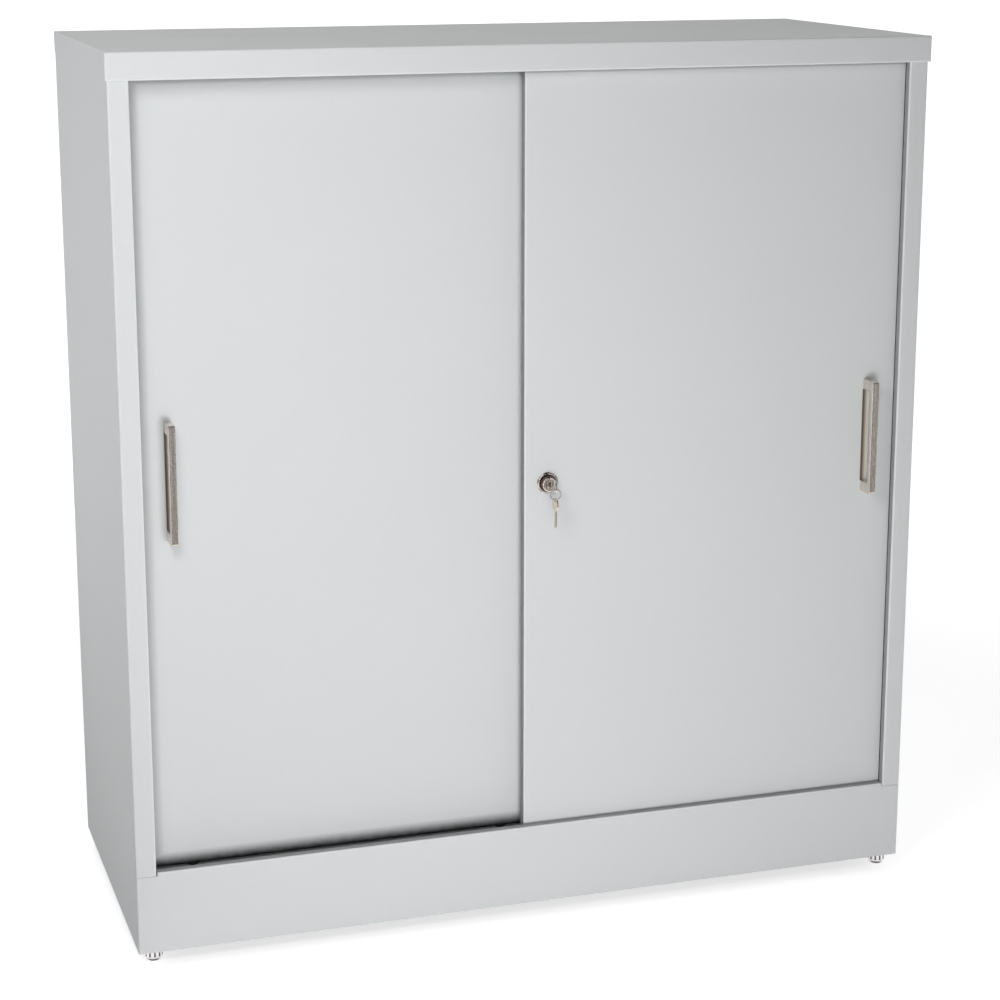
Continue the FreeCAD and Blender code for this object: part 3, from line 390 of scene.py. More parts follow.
recess = product(painted_shading, step_mask(painted_shading, frontal, *SIDEWAYS),
                 off_edge(math_node(painted_shading, "ABSOLUTE", x), OPENING, PAST_EDGE),
                 off_edge(z, LEDGE_Z, PAST_EDGE, way=-1), off_edge(z, HEAD_Z, PAST_EDGE),
                 off_edge(y, stile_y, BEHIND_STILE), off_edge(y, stile_y, DEEP_INSIDE))
by_front_door = product(painted_shading, off_edge(x, front_door.x, BESIDE_DOOR),
                        off_edge(y, front_door.y, BEFORE_FRONT_DOOR))
by_rear_door = off_edge(y, rear_door.y, BEFORE_REAR_DOOR)
corner_line = math_node(painted_shading, "MAXIMUM", by_front_door, by_rear_door)
depth = math_node(painted_shading, "MULTIPLY_ADD", corner_line, 0.5, given["Sides"])
uneven = math_node(painted_shading, "MULTIPLY_ADD", noise(painted_shading, 120.0, detail=5.0), 0.3, 0.85)
shade_mask = product(painted_shading, recess, depth, uneven)
foot_top = total(painted_shading, given["Foot Height"], LEDGE_Z)
head_start = math_node(painted_shading, "SUBTRACT", HEAD_Z, given["Head Height"])
for label, mask in (("Foot", fading(painted_shading, z, rear_door.z, foot_top)),
                    ("Head", fading(painted_shading, z, HEAD_Z - 0.001, head_start)),
                    ("Edge", fading(painted_shading, x, -OPENING + 0.003, -OPENING + 0.016))):
    shade_mask = math_node(painted_shading, "MAXIMUM", shade_mask, product(painted_shading, mask, given[label], uneven))
shade_mask = math_node(painted_shading, "MINIMUM", shade_mask, 1.0)
# Painted highlight: the colour on the bends is made brighter, as light catching them would.
painted_bend_highlight = product(painted_shading, step_mask(painted_shading, frontal, *BEND_SIDE),
                  step_mask(painted_shading, frontal, *BEND_FRONT), given["Bend"])
# Painted shade: the paint is mixed towards near black where the masks say so.
shaded_colour = mix_colour(painted_shading, shade_mask, given["Color"], linear(38, 38, 40))
close_group(painted_shading, result, Color=brighten(painted_shading, shaded_colour, painted_bend_highlight))

# %% [markdown]
# Chrome is only as bright as what it mirrors, and a narrow hollow mirrors mostly itself. The
# feet's flutes and the groove round the lock's button get their depth from a painted dark
# reflection there, worked out from the distance to the foot's or the lock's axis. So do the
# rim over the feet's soles and patches on the lock's bevel.

# %% Painted dark reflections in chrome
def from_axis(tree, across, along):
    """Distance from an axis, given the two distances square to it."""
    squares = total(tree, product(tree, across, across), product(tree, along, along))
    return math_node(tree, "SQRT", squares)


def hollow_group(name, mask_of, dark):
    """Chrome with a painted dark reflection where a mask says so. mask_of(tree, x, y, z) builds
    the mask.
    """
    tree, given, result = new_group(name, ("Color", "Roughness"), Color=GREY, Roughness=0.1,
                                    Amount=0.9)
    mask = product(tree, mask_of(tree, *axes(tree, object_place(tree))), given["Amount"])
    close_group(tree, result, Color=mix_colour(tree, mask, given["Color"], dark),
                Roughness=math_node(tree, "MULTIPLY_ADD", mask, 0.25, given["Roughness"]))
    return tree


# %% Hollows of the feet
FOOT_R, COLLAR_LOW, COLLAR_HIGH = 0.011, 0.006, 0.0165
# The dark rim over the sole is a painted dark reflection.
SOLE_RIM = (0.0036, 0.0026)          # heights at which the dark rim starts and is full
FOOT, BACK_FOOT = middle("front_right_foot"), middle("rear_right_foot")


def foot_hollows(tree, x, y, z):
    """Painted dark reflection in the flutes of all four feet, and on the rim over the sole."""
    across = math_node(tree, "SUBTRACT", math_node(tree, "ABSOLUTE", x), FOOT.x)
    along = math_node(tree, "SUBTRACT", y, (FOOT.y + BACK_FOOT.y) / 2)
    along = math_node(tree, "SUBTRACT", math_node(tree, "ABSOLUTE", along),
                      (BACK_FOOT.y - FOOT.y) / 2)
    radius = from_axis(tree, across, along)
    flutes = product(tree, step_mask(tree, radius, FOOT_R - 0.0001, FOOT_R - 0.0005),
                     step_mask(tree, z, COLLAR_LOW - 0.0004, COLLAR_LOW + 0.0002),
                     step_mask(tree, z, COLLAR_HIGH - 0.0001, COLLAR_HIGH - 0.0003))
    return math_node(tree, "MAXIMUM", flutes, step_mask(tree, z, *SOLE_RIM))


# Painted dark reflection in the flutes and on the rim over the sole.
flute_tarnish = hollow_group("flute_tarnish", foot_hollows, linear(72, 54, 62))

# %% Hollows of the lock
LOCK = middle("lock_housing")
LOCK_RIM_R, BUTTON_R = 0.0125, 0.0095


def lock_hollows(tree, x, y, z):
    """Painted dark reflection in the groove round the button, and in patches on the rim's bevel.
    """
    radius = from_axis(tree, math_node(tree, "SUBTRACT", x, LOCK.x),
                       math_node(tree, "SUBTRACT", z, LOCK.z))
    groove = product(tree, step_mask(tree, radius, BUTTON_R - 0.0012, BUTTON_R - 0.0004),
                     step_mask(tree, radius, BUTTON_R + 0.0012, BUTTON_R + 0.0006))
    bevel = product(tree, step_mask(tree, radius, LOCK_RIM_R - 0.0012, LOCK_RIM_R - 0.0004),
                    step_mask(tree, noise(tree, 130.0), 0.40, 0.54))
    return math_node(tree, "MAXIMUM", groove, bevel)


# Painted dark reflection in the groove and in patches on the collar's bevel.
lock_tarnish = hollow_group("lock_tarnish", lock_hollows, linear(60, 34, 32))

# %% Drawn grain
drawn, given, result = new_group("drawn_grain", ("Color", "Roughness", "Height"), Tone=GREY,
                                 Grain=0.2, Roughness=0.3)
lines = noise(drawn, 1.0, detail=3.0, stretch=(2600.0, 2600.0, 40.0))
stain = noise(drawn, 60.0, detail=3.0)
swing = total(drawn, centred(drawn, lines, given["Grain"]), centred(drawn, stain, 0.12))
close_group(drawn, result, Color=brighten(drawn, given["Tone"], swing),
            Roughness=total(drawn, given["Roughness"], centred(drawn, lines, 0.16)),
            Height=lines)

# %% Painted shade across the handles' strips
shade, given, result = new_group("strip_shade", ("Tone",), Dark=GREY, Light=GREY)
low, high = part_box("right_handle")
x = axes(shade, object_place(shade))["X"]
across = math_node(shade, "MULTIPLY_ADD", math_node(shade, "SIGN", x), -middle("right_handle").x,
                   x)
half = (high.x - low.x) / 2
close_group(shade, result, Tone=mix_colour(shade, step_mask(shade, across, -half, half),
                                           given["Dark"], given["Light"]))

# %% Smears on plating
smear, given, result = new_group("handled_plating", ("Color", "Roughness", "Height"), Tone=GREY,
                                 Roughness=0.08, Smear=0.15)
marks = noise(smear, 240.0, detail=4.0, roughness=0.6)
rise = math_node(smear, "MAXIMUM", centred(smear, marks, given["Smear"]), 0.0)
close_group(smear, result, Color=brighten(smear, given["Tone"], centred(smear, marks, 0.08)),
            Roughness=total(smear, given["Roughness"], rise),
            Height=noise(smear, 1900.0, detail=2.0))

# %% [markdown]
# ## Materials
# Each finish is one Principled shader with groups in front of it, laid over one another: the
# coat, the dust on it, and painted shade and highlight over that. The paint is a cool light grey
# with a fine, slightly pebbled skin. The doors, the shell and the inside share the paint but
# not its painted shade or its dust: the inside gets a thinner coat and the ledges catch dust.

# %% Material builders
COAT_RELIEF, DRAWN_RELIEF, PLATE_RELIEF = 0.00002, 0.000006, 0.000001     # metres


def layered(name, relief, *layers, metallic=0.0, specular=0.5):
    """One shader under layers of (group, values), the lowest first.

    A layer's inputs are linked to the outputs of the same name below it."""
    made = bpy.data.materials.new(name)
    made.use_nodes = True
    tree = made.node_tree
    below = {}
    for group, values in layers:
        node = add_node(tree, "ShaderNodeGroup", node_tree=group)
        for socket in node.inputs:
            value = values.get(socket.name.replace(" ", "_"), below.get(socket.name))
            if value is not None:
                feed(tree, value, socket)
        below.update((socket.name, socket) for socket in node.outputs)
    bumps = add_node(tree, "ShaderNodeBump", {"Height": below["Height"], "Distance": relief,
                                              "Strength": 1.0})
    shader = tree.nodes["Principled BSDF"]
    for label, value in (("Base Color", below["Color"]), ("Roughness", below["Roughness"]),
                         ("Normal", bumps.outputs[0]), ("Metallic", metallic),
                         ("Specular IOR Level", specular)):
        feed(tree, value, shader.inputs[label])
    print("finish", name, len(layers), "layers")
    return made


# Keyword amounts beyond the coat and dust set the painted shade and highlight.
def paint(name, tone, grain=0.05, cloud=0.03, roughness=0.5, dust=0.2, **shading_amounts):
    coat = dict(Tone=tone, Grain=grain, Cloud=cloud, Roughness=roughness)
    return layered(name, COAT_RELIEF, (powder, coat), (dusting, {"Amount": dust}),
                   (painted_shading, shading_amounts), specular=0.3)


def brushed(name, tone, grain=0.25, roughness=0.3):
    return layered(name, DRAWN_RELIEF, (drawn, dict(Tone=tone, Grain=grain,
                                                    Roughness=roughness)), metallic=1.0)


def plated(name, tone, *hollows, roughness=0.06):
    """Plating with the smears of handling, and groups of painted dark reflection in hollows over
    them.
    """
    return layered(name, PLATE_RELIEF, (smear, dict(Tone=tone, Roughness=roughness)),
                   *[(group, {}) for group in hollows], metallic=1.0)


def moulded(name, tone, roughness=0.5):
    """Moulded nylon, plastic or rubber: the powder coat's skin on a duller shader."""
    skin = dict(Tone=tone, Grain=0.06, Cloud=0.02, Roughness=roughness, Peel_Scale=900.0)
    return layered(name, COAT_RELIEF, (powder, skin), specular=0.4)


# %% Finishes of this cabinet
# Every paint gets painted shade in the recesses and a painted highlight on its bends.
shell_paint = paint("shell_paint", linear(219, 221, 222))
# The doors' Foot and Head amounts are painted shade along their foot and under the lid.
door_paint = paint("door_paint", linear(220, 222, 223), cloud=0.035, Sides=0.36, Foot=0.9,
                   Foot_Height=0.0015, Head=0.5, Head_Height=0.004)
# The rear door's copy of the door paint has more painted shade at its foot, head and left edge.
rear_door_paint = paint("rear_door_paint", linear(220, 222, 223), cloud=0.035, Sides=0.36,
                        Foot=0.95, Foot_Height=0.008, Head=0.55, Head_Height=0.008, Edge=0.4)
inner_paint = paint("inner_paint", linear(208, 210, 211), grain=0.07, roughness=0.58, dust=0.35)
track_paint = paint("track_paint", linear(176, 179, 180), grain=0.09, roughness=0.45, dust=0.5)
pull_metal = brushed("pull_metal", linear(226, 219, 210), roughness=0.26)
# Painted shade: the strips between the handles' legs run from dark brown on their left to near
# white on their right.
strip_metal = layered("strip_metal", DRAWN_RELIEF,
                      (shade, dict(Dark=linear(92, 76, 58), Light=linear(253, 247, 234))),
                      (drawn, dict(Grain=0.3, Roughness=0.34)), metallic=0.15)
zinc = brushed("bright_zinc", linear(206, 208, 212), grain=0.15, roughness=0.3)
lock_chrome = plated("lock_chrome", linear(228, 218, 212), lock_tarnish, roughness=0.04)
foot_chrome = plated("foot_chrome", linear(232, 230, 232), flute_tarnish)
plug_plate = plated("plug_nickel", linear(214, 208, 200), roughness=0.12)
key_plate = plated("key_nickel", linear(220, 216, 210), roughness=0.16)
key_brass = plated("key_brass", linear(234, 223, 207), roughness=0.18)
ring_plate = plated("ring_steel", linear(216, 216, 218), roughness=0.15)
# The rollers are moulded black, and this black also stands in for the shade under the doors.
nylon = moulded("black_nylon", linear(48, 48, 50))
sole_plastic = moulded("sole_plastic", linear(46, 46, 47), roughness=0.55)
rubber = moulded("bumper_rubber", linear(38, 38, 38), roughness=0.8)

# %% [markdown]
# ## Dressing the imported parts
# A imported part has its final shape, so all it needs is its finish. The record names a slot for
# every part, and the slot picks the material. Only the rear door has a finish of its own,
# with more painted shade: it stands deeper in the opening, and its foot, head and left edge are
# darkest.

# %% Dress the imported parts
by_slot = {"body_paint": shell_paint, "door_paint": door_paint, "inner_paint": inner_paint,
           "track_paint": track_paint, "handle_nickel": pull_metal, "zinc_steel": zinc,
           "lock_chrome": lock_chrome, "plug_nickel": plug_plate, "key_nickel": key_plate,
           "key_brass": key_brass, "ring_steel": ring_plate, "foot_chrome": foot_chrome,
           "sole_plastic": sole_plastic, "nylon": nylon, "bumper_rubber": rubber}
own_finish = {"left_door_panel": rear_door_paint}
slots = {part["node"]: part["material_slot"] for part in frame["record"]["subparts"]}
for name, part in parts.items():
    part.data.materials.clear()
    part.data.materials.append(own_finish.get(name, by_slot[slots[name]]))
print("dressed", len(slots), "parts in", len(by_slot), "finishes")

# %% [markdown]
# ## Making pieces
# Small pieces come in three ways. A turned piece is an outline spun round an axis. A stamped
# or bent flat piece is a filled outline, given thickness and a softened edge. Wound and
# repeated pieces come from Geometry Nodes. Every finished piece keeps its object at the
# origin and its place in its mesh.

# %% Piece helpers
SMOOTH_BELOW = math.radians(38)


def keep(name, mesh, material, slot, body, *replaced):
    """Make the mesh a finished piece that rides on a body, and hide the parts it stands for."""
    mesh.materials.clear()
    mesh.materials.append(material)
    mesh.polygons.foreach_set("use_smooth", [True] * len(mesh.polygons))
    mesh.set_sharp_from_angle(angle=SMOOTH_BELOW)
    piece = new_object(name, mesh)
    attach(piece, body)
    if replaced:
        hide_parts(*replaced)
    print(name, len(mesh.polygons), "faces on", body)


def evaluated_mesh(holder):
    """The mesh that an object shows once its modifiers have run. The object is removed."""
    bpy.context.view_layer.update()
    mesh = bpy.data.meshes.new_from_object(
        holder.evaluated_get(bpy.context.evaluated_depsgraph_get()))
    bpy.data.objects.remove(holder)
    return mesh


def write_mesh(shape, mesh):
    """Put the bmesh into the mesh and let go of it."""
    shape.to_mesh(mesh)
    shape.free()
    return mesh


print("edges above", round(math.degrees(SMOOTH_BELOW)), "degrees stay sharp")

# %% [markdown]
# ## Handles
# Each pull is a flat bar bent into a bow, with soft edges and a narrow strip between its feet
# that lies on the door. Seen from the front it is only a few millimetres wide, so the strip
# and the bar's edges are what give it its look. The bow is a stamped outline on its side.

# %% Stamped outlines
EDGE_STEPS = 3                       # facets on a stamped piece's softened edge
YZ_PLANE = Matrix(((0, 0, 1, 0), (1, 0, 0, 0), (0, 1, 0, 0), (0, 0, 0, 1)))
WELD, FLAT = 1e-7, 1e-8              # metres


def stamped_mesh(name, outlines, thickness, edge, place):
    """A flat piece in the YZ plane: the first outline filled, the others cut out of it."""
    flat = bpy.data.curves.new(name, "CURVE")
    flat.dimensions = "2D"
    flat.fill_mode = "BOTH"
    flat.extrude = thickness / 2 - edge
    flat.bevel_depth = edge
    flat.bevel_resolution = EDGE_STEPS
    flat.offset = -edge
    for outline in outlines:
        spline = flat.splines.new("POLY")
        spline.points.add(len(outline) - 1)
        for point, (across, up) in zip(spline.points, outline):
            point.co = (across, up, 0, 1)
        spline.use_cyclic_u = True
    mesh = evaluated_mesh(new_object(name, flat))
    shape = bmesh.new()
    shape.from_mesh(mesh)
    bmesh.ops.remove_doubles(shape, verts=shape.verts, dist=WELD)
    shape.transform(Matrix.Translation(place) @ YZ_PLANE)
    bmesh.ops.recalc_face_normals(shape, faces=shape.faces)
    return write_mesh(shape, mesh)


def arc(centre, radius, start, end, steps):
    """Points of an arc in degrees, both ends included."""
    angles = [math.radians(start + (end - start) * step / steps) for step in range(steps + 1)]
    return [(centre[0] + radius * math.cos(angle), centre[1] + radius * math.sin(angle))
            for angle in angles]


print("a quarter turn in 8 steps:", len(arc((0, 0), 1.0, 0, 90, 8)), "points")

# %% Handles
BOW_BAR, BOW_LEG, BOW_EDGE = 0.006, 0.0125, 0.0011
BOW_BEND, BOW_INNER_BEND = 0.0034, 0.0026
STRIP_THICK, STRIP_EDGE = 0.0016, 0.0004


def bow_outline(low, high):
    """Side view of the bow: (y, z) points from one foot round the outside and back inside."""
    front, back = low.y + BOW_BEND, high.y
    inside = low.y + BOW_BAR + BOW_INNER_BEND
    leg_low, leg_high = low.z + BOW_LEG, high.z - BOW_LEG
    return ([(back, low.z)]
            + arc((front, low.z + BOW_BEND), BOW_BEND, 270, 180, 8)
            + arc((front, high.z - BOW_BEND), BOW_BEND, 180, 90, 8)
            + [(back, high.z), (back, leg_high)]
            + arc((inside, leg_high - BOW_INNER_BEND), BOW_INNER_BEND, 90, 180, 6)
            + arc((inside, leg_low + BOW_INNER_BEND), BOW_INNER_BEND, 180, 270, 6)
            + [(back, leg_low)])


for side in ("left", "right"):
    low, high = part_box(f"{side}_handle")
    across = high.x - low.x
    place = Vector(((low.x + high.x) / 2, 0, 0))
    bow = stamped_mesh(f"{side}_bow", [bow_outline(low, high)], across, BOW_EDGE, place)
    keep(f"{side}_bow", bow, pull_metal, "handle_nickel", f"{side}_door", f"{side}_handle")
    front, foot, head = high.y - STRIP_THICK, low.z + BOW_LEG, high.z - BOW_LEG
    strip = stamped_mesh(f"{side}_strip", [[(front, foot), (high.y, foot), (high.y, head),
                                            (front, head)]], across, STRIP_EDGE, place)
    keep(f"{side}_strip", strip, strip_metal, "handle_nickel", f"{side}_door")

# %% [markdown]
# ## Lock
# The lock is turned brass under chrome: a bevelled collar on the door, a button that is
# pressed in to lock, and the plug with its keyway in the middle of the button. The collar and
# the button are turned; their rounded rims carry the bright and dark rings that make chrome
# read as chrome. Some of the dark is painted reflection: the groove round the button and
# patches on the collar's bevel.

# %% Turned outlines
LONG_Y = Matrix.Rotation(math.radians(-90), 4, "X")       # turns a piece from Z to lie along Y


def even_angles(count):
    return [2 * math.pi * step / count for step in range(count)]


def turned_mesh(name, outline, place, turn, angles=even_angles(96), radius_at=None):
    """Spin a closed outline of (radius, height) round Z, then turn it and put it in place.

    radius_at(radius, height, angle) may change the radius as it goes round."""
    shape = bmesh.new()
    rows = []
    for angle in angles:
        row = []
        for radius, height in outline:
            reach = radius_at(radius, height, angle) if radius_at else radius
            point = (reach * math.cos(angle), reach * math.sin(angle), height)
            row.append(shape.verts.new(point))
        rows.append(row)
    count = len(outline)
    for here, there in zip(rows, rows[1:] + rows[:1]):
        for i in range(count):
            j = (i + 1) % count
            if outline[i][0] > 0 or outline[j][0] > 0:
                shape.faces.new((here[i], there[i], there[j], here[j]))
    bmesh.ops.remove_doubles(shape, verts=shape.verts, dist=WELD)
    bmesh.ops.dissolve_degenerate(shape, dist=FLAT, edges=shape.edges)
    bmesh.ops.recalc_face_normals(shape, faces=shape.faces)
    shape.transform(Matrix.Translation(place) @ turn)
    return write_mesh(shape, bpy.data.meshes.new(name))


def rounded(corners, steps=5):
    """An outline from (radius, height, rounding), with each corner rounded that far."""
    spots = [Vector(corner[:2]) for corner in corners]
    made = [corners[0][:2]]
    for before, here, after, corner in zip(spots, spots[1:], spots[2:], corners[1:]):
        into, out = before - here, after - here
        reach = min(corner[2], into.length / 2.05, out.length / 2.05)
        if reach <= 0:
            made.append(tuple(here))
            continue
        first, last = here + into.normalized() * reach, here + out.normalized() * reach
        for step in range(steps + 1):
            share = step / steps
            made.append(tuple(first * (1 - share) ** 2 + here * 2 * share * (1 - share)
                              + last * share ** 2))
    made.append(corners[-1][:2])
    return made


print("one rounded corner:", len(rounded(((0, 0, 0), (1, 0, 0.1), (1, 1, 0)))) - 2, "points")

# %% Lock collar
LOCK_FACE_R, LOCK_BEVEL, LOCK_RIM = 0.0113, 0.0012, 0.0025
LOCK_BORE, BARREL_R, PIN_BORE, BACK_WALL = 0.0096, 0.0108, 0.0036, 0.0015
low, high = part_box("lock_housing")
depth = high.y - low.y
outline = ((LOCK_BORE, 0.0, 0), (LOCK_FACE_R, 0.0, 0.0005), (LOCK_RIM_R, LOCK_BEVEL, 0.0006),
           (LOCK_RIM_R, LOCK_RIM, 0.0002), (BARREL_R, LOCK_RIM, 0), (BARREL_R, depth, 0.0004),
           (PIN_BORE, depth, 0), (PIN_BORE, depth - BACK_WALL, 0),
           (LOCK_BORE, depth - BACK_WALL, 0))
collar = turned_mesh("lock_collar", rounded(outline), (LOCK.x, low.y, LOCK.z), LONG_Y)
keep("lock_collar", collar, lock_chrome, "lock_chrome", "right_door", "lock_housing")

# %% Lock button
SEAT_R, SEAT_LIP, DISH_R, FACE_R, FACE_BEVEL = 0.0057, 0.0004, 0.0062, 0.0079, 0.0015
GROOVE_R, GROOVE_HALF, GROOVE_FLOOR, GROOVE_MIDDLE = 0.0091, 0.0007, 0.0003, 0.0053
PIN_R, PIN_LENGTH, PIN_CHAMFER, PLUG_GAP = 0.0035, 0.010, 0.0008, 0.0003
low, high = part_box("lock_plunger")
depth = high.y - low.y
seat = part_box("lock_plug")[1].y - low.y + PLUG_GAP
outline = ((0.0, seat, 0), (SEAT_R, seat, 0), (SEAT_R, SEAT_LIP, 0.0002), (DISH_R, 0.0, 0.0003),
           (FACE_R, 0.0, 0.0009), (BUTTON_R, FACE_BEVEL, 0.0009),
           (BUTTON_R, GROOVE_MIDDLE - GROOVE_HALF, 0.0002),
           (GROOVE_R, GROOVE_MIDDLE - GROOVE_FLOOR, 0.0002),
           (GROOVE_R, GROOVE_MIDDLE + GROOVE_FLOOR, 0.0002),
           (BUTTON_R, GROOVE_MIDDLE + GROOVE_HALF, 0.0002),
           (BUTTON_R, depth - PIN_LENGTH, 0.0004), (PIN_R, depth - PIN_LENGTH, 0),
           (PIN_R, depth - PIN_CHAMFER, 0), (PIN_R - PIN_CHAMFER, depth, 0), (0.0, depth, 0))
button = turned_mesh("lock_button", rounded(outline), (LOCK.x, low.y, LOCK.z), LONG_Y)
keep("lock_button", button, lock_chrome, "lock_chrome", "lock_plunger", "lock_plunger")

# %% [markdown]
# ## Keys and ring
# A flat key is cut from strip: a round bow with a hole and a coined rim, and a blade with four
# bittings and a milled groove. One stands in the lock. Its twin hangs from it on a split ring,
# which is flattened wire wound twice round. The key is made once, lying along Y, and placed
# twice. The wound wire follows a rule, so a small Geometry Nodes tree makes it.

# %% Outline of the key
KEY_BOW_R, KEY_HOLE_R, KEY_HOLE_OFFSET = 0.008, 0.002, 0.0044
KEY_BLADE, BLADE_HALF, KEY_THICK, KEY_EDGE, TIP_BLUNT = 0.020, 0.0025, 0.0018, 0.00018, 0.0004
BITTINGS, BITTING_DEPTH = (0.0042, 0.0070, 0.0098, 0.0126), 0.0011      # metres from the tip
BITTING_TOP, BITTING_FLOOR = 0.0009, 0.0003                             # half widths


def key_outline():
    """(along, up) from the bow's centre, round the bow and the blade."""
    join = math.degrees(math.asin(BLADE_HALF / KEY_BOW_R))
    tip = KEY_BOW_R + KEY_BLADE
    points = arc((0, 0), KEY_BOW_R, join, 360 - join, 60)
    points += [(tip - BLADE_HALF, -BLADE_HALF), (tip - TIP_BLUNT, -TIP_BLUNT), (tip, 0),
               (tip - TIP_BLUNT, TIP_BLUNT), (tip - BLADE_HALF, BLADE_HALF)]
    for cut in BITTINGS:
        for aside, sink in ((BITTING_TOP, 0), (BITTING_FLOOR, BITTING_DEPTH),
                            (-BITTING_FLOOR, BITTING_DEPTH), (-BITTING_TOP, 0)):
            points.append((tip - cut + aside, BLADE_HALF - sink))
    return points


print("key outline", len(key_outline()), "points")

# %% Cutting and joining
def cut_away(mesh, cutter):
    """The mesh less the cutter, both as meshes in the same place."""
    body, tool = new_object("body", mesh), new_object("tool", cutter)
    cut = body.modifiers.new("cut", "BOOLEAN")
    cut.operation, cut.object, cut.solver = "DIFFERENCE", tool, "EXACT"
    made = evaluated_mesh(body)
    bpy.data.objects.remove(tool)
    return made


def block_mesh(low, high):
    """A box, only ever used as a cutter."""
    low, high = Vector(low), Vector(high)
    shape = bmesh.new()
    bmesh.ops.create_cube(shape, size=1.0)
    shape.transform(Matrix.Translation((low + high) / 2)
                    @ Matrix.Diagonal((*(high - low), 1)))
    return write_mesh(shape, bpy.data.meshes.new("block"))


def join_meshes(first, *others):
    shape = bmesh.new()
    for mesh in (first, *others):
        shape.from_mesh(mesh)
    return write_mesh(shape, first)


# %% Keys
MILL_DEPTH, MILL_LOW, MILL_HIGH, MILL_OVERRUN = 0.00045, -0.0015, -0.0003, 0.001
RIM_INSET, RIM_WIDE, RIM_PROUD = 0.0004, 0.0008, 0.0004


def key_mesh():
    hole = arc((-KEY_HOLE_OFFSET, 0), KEY_HOLE_R, 0, 345, 23)
    blank = stamped_mesh("key", [key_outline(), hole], KEY_THICK, KEY_EDGE, (0, 0, 0))
    start = KEY_BOW_R + MILL_OVERRUN
    end = KEY_BOW_R + KEY_BLADE + MILL_OVERRUN
    for side in (-1, 1):
        near, far = sorted((side * (KEY_THICK / 2 - MILL_DEPTH), side * KEY_THICK))
        blank = cut_away(blank, block_mesh((near, start, MILL_LOW), (far, end, MILL_HIGH)))
    rings = [arc((0, 0), KEY_BOW_R - inset, 0, 354, 59)
             for inset in (RIM_INSET, RIM_INSET + RIM_WIDE)]
    rim = stamped_mesh("rim", rings, KEY_THICK + RIM_PROUD, KEY_EDGE, (0, 0, 0))
    return join_meshes(blank, rim)


at = middle("key")
in_lock = key_mesh()
in_lock.transform(Matrix.Translation((at.x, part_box("key")[0].y + KEY_BOW_R, at.z)))
keep("key_in_lock", in_lock, key_plate, "key_nickel", "key", "key")
at = middle("spare_key")
spare = key_mesh()
spare.transform(Matrix.Translation((at.x, at.y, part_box("spare_key")[1].z - KEY_BOW_R)) @ LONG_Y)
keep("hanging_key", spare, key_brass, "key_brass", "spare_key", "spare_key")

# %% Geometry Nodes helpers
def new_tree(name, **inputs):
    """A Geometry Nodes tree, its inputs and its output node. Underscores stand for spaces.

    A number makes a value socket, and a word names the kind of any other."""
    tree = bpy.data.node_groups.new(name, "GeometryNodeTree")
    for label, value in inputs.items():
        kind = f"NodeSocket{value}" if isinstance(value, str) else "NodeSocketFloat"
        socket = tree.interface.new_socket(label.replace("_", " "), in_out="INPUT",
                                           socket_type=kind)
        if not isinstance(value, str):
            socket.default_value = value
    tree.interface.new_socket("Geometry", in_out="OUTPUT", socket_type="NodeSocketGeometry")
    return tree, add_node(tree, "NodeGroupInput").outputs, add_node(tree, "NodeGroupOutput")


def close_tree(tree, geometry, given, result):
    """End the tree: copies made real, then the finish."""
    real = add_node(tree, "GeometryNodeRealizeInstances", {"Geometry": geometry})
    finished = add_node(tree, "GeometryNodeSetMaterial", {"Geometry": real.outputs["Geometry"],
                                                          "Material": given["Finish"]})
    feed(tree, finished.outputs["Geometry"], result.inputs["Geometry"])
    print("tree", tree.name, len(tree.nodes), "nodes")


def run_tree(tree, mesh, **values):
    """The tree's result as a plain mesh. Underscores in a name stand for spaces."""
    holder = new_object(tree.name, mesh)
    modifier = holder.modifiers.new(tree.name, "NODES")
    modifier.node_group = tree
    for item in tree.interface.items_tree:
        label = item.name.replace(" ", "_")
        if item.in_out == "INPUT" and label in values:
            modifier[item.identifier] = values[label]
    return evaluated_mesh(holder)


# %% Wound wire tree
coil, given, result = new_tree("wound_wire", Radius=0.0063, Turns=2.0, Height=0.001,
                               Wire_Wide=0.0006, Wire_Thick=0.0002, Finish="Material")
path = add_node(coil, "GeometryNodeCurveSpiral",
                {"Resolution": 72, "Start Radius": given["Radius"],
                 "End Radius": given["Radius"], "Rotations": given["Turns"],
                 "Height": given["Height"]})
upright = add_node(coil, "GeometryNodeSetCurveNormal", {"Curve": path.outputs["Curve"]},
                   mode="Z_UP")
section = add_node(coil, "GeometryNodeCurvePrimitiveCircle", {"Radius": 1.0, "Resolution": 14})
scale = add_node(coil, "ShaderNodeCombineXYZ", {"X": given["Wire Wide"],
                                                "Y": given["Wire Thick"], "Z": 1.0})
flatten = add_node(coil, "GeometryNodeTransform", {"Geometry": section.outputs["Curve"],
                                                   "Scale": scale.outputs[0]})
wire = add_node(coil, "GeometryNodeCurveToMesh",
                {"Curve": upright.outputs["Curve"],
                 "Profile Curve": flatten.outputs["Geometry"], "Fill Caps": True})
close_tree(coil, wire.outputs["Mesh"], given, result)

# %% Split ring
RING_TURNS, RING_RISE, WIRE_WIDE, WIRE_THICK = 2.0, 0.00094, 0.0006, 0.00022
low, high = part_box("key_ring")
ring = run_tree(coil, bpy.data.meshes.new("ring"), Radius=(high.x - low.x) / 2 - WIRE_WIDE,
                Turns=RING_TURNS, Height=RING_RISE, Wire_Wide=WIRE_WIDE, Wire_Thick=WIRE_THICK,
                Finish=ring_plate)
ring.transform(Matrix.Translation(middle("key_ring")) @ Matrix.Rotation(math.pi / 2, 4, "X")
               @ Matrix.Translation((0, 0, -RING_RISE / 2)))
keep("split_ring", ring, ring_plate, "ring_steel", "key_ring", "key_ring")

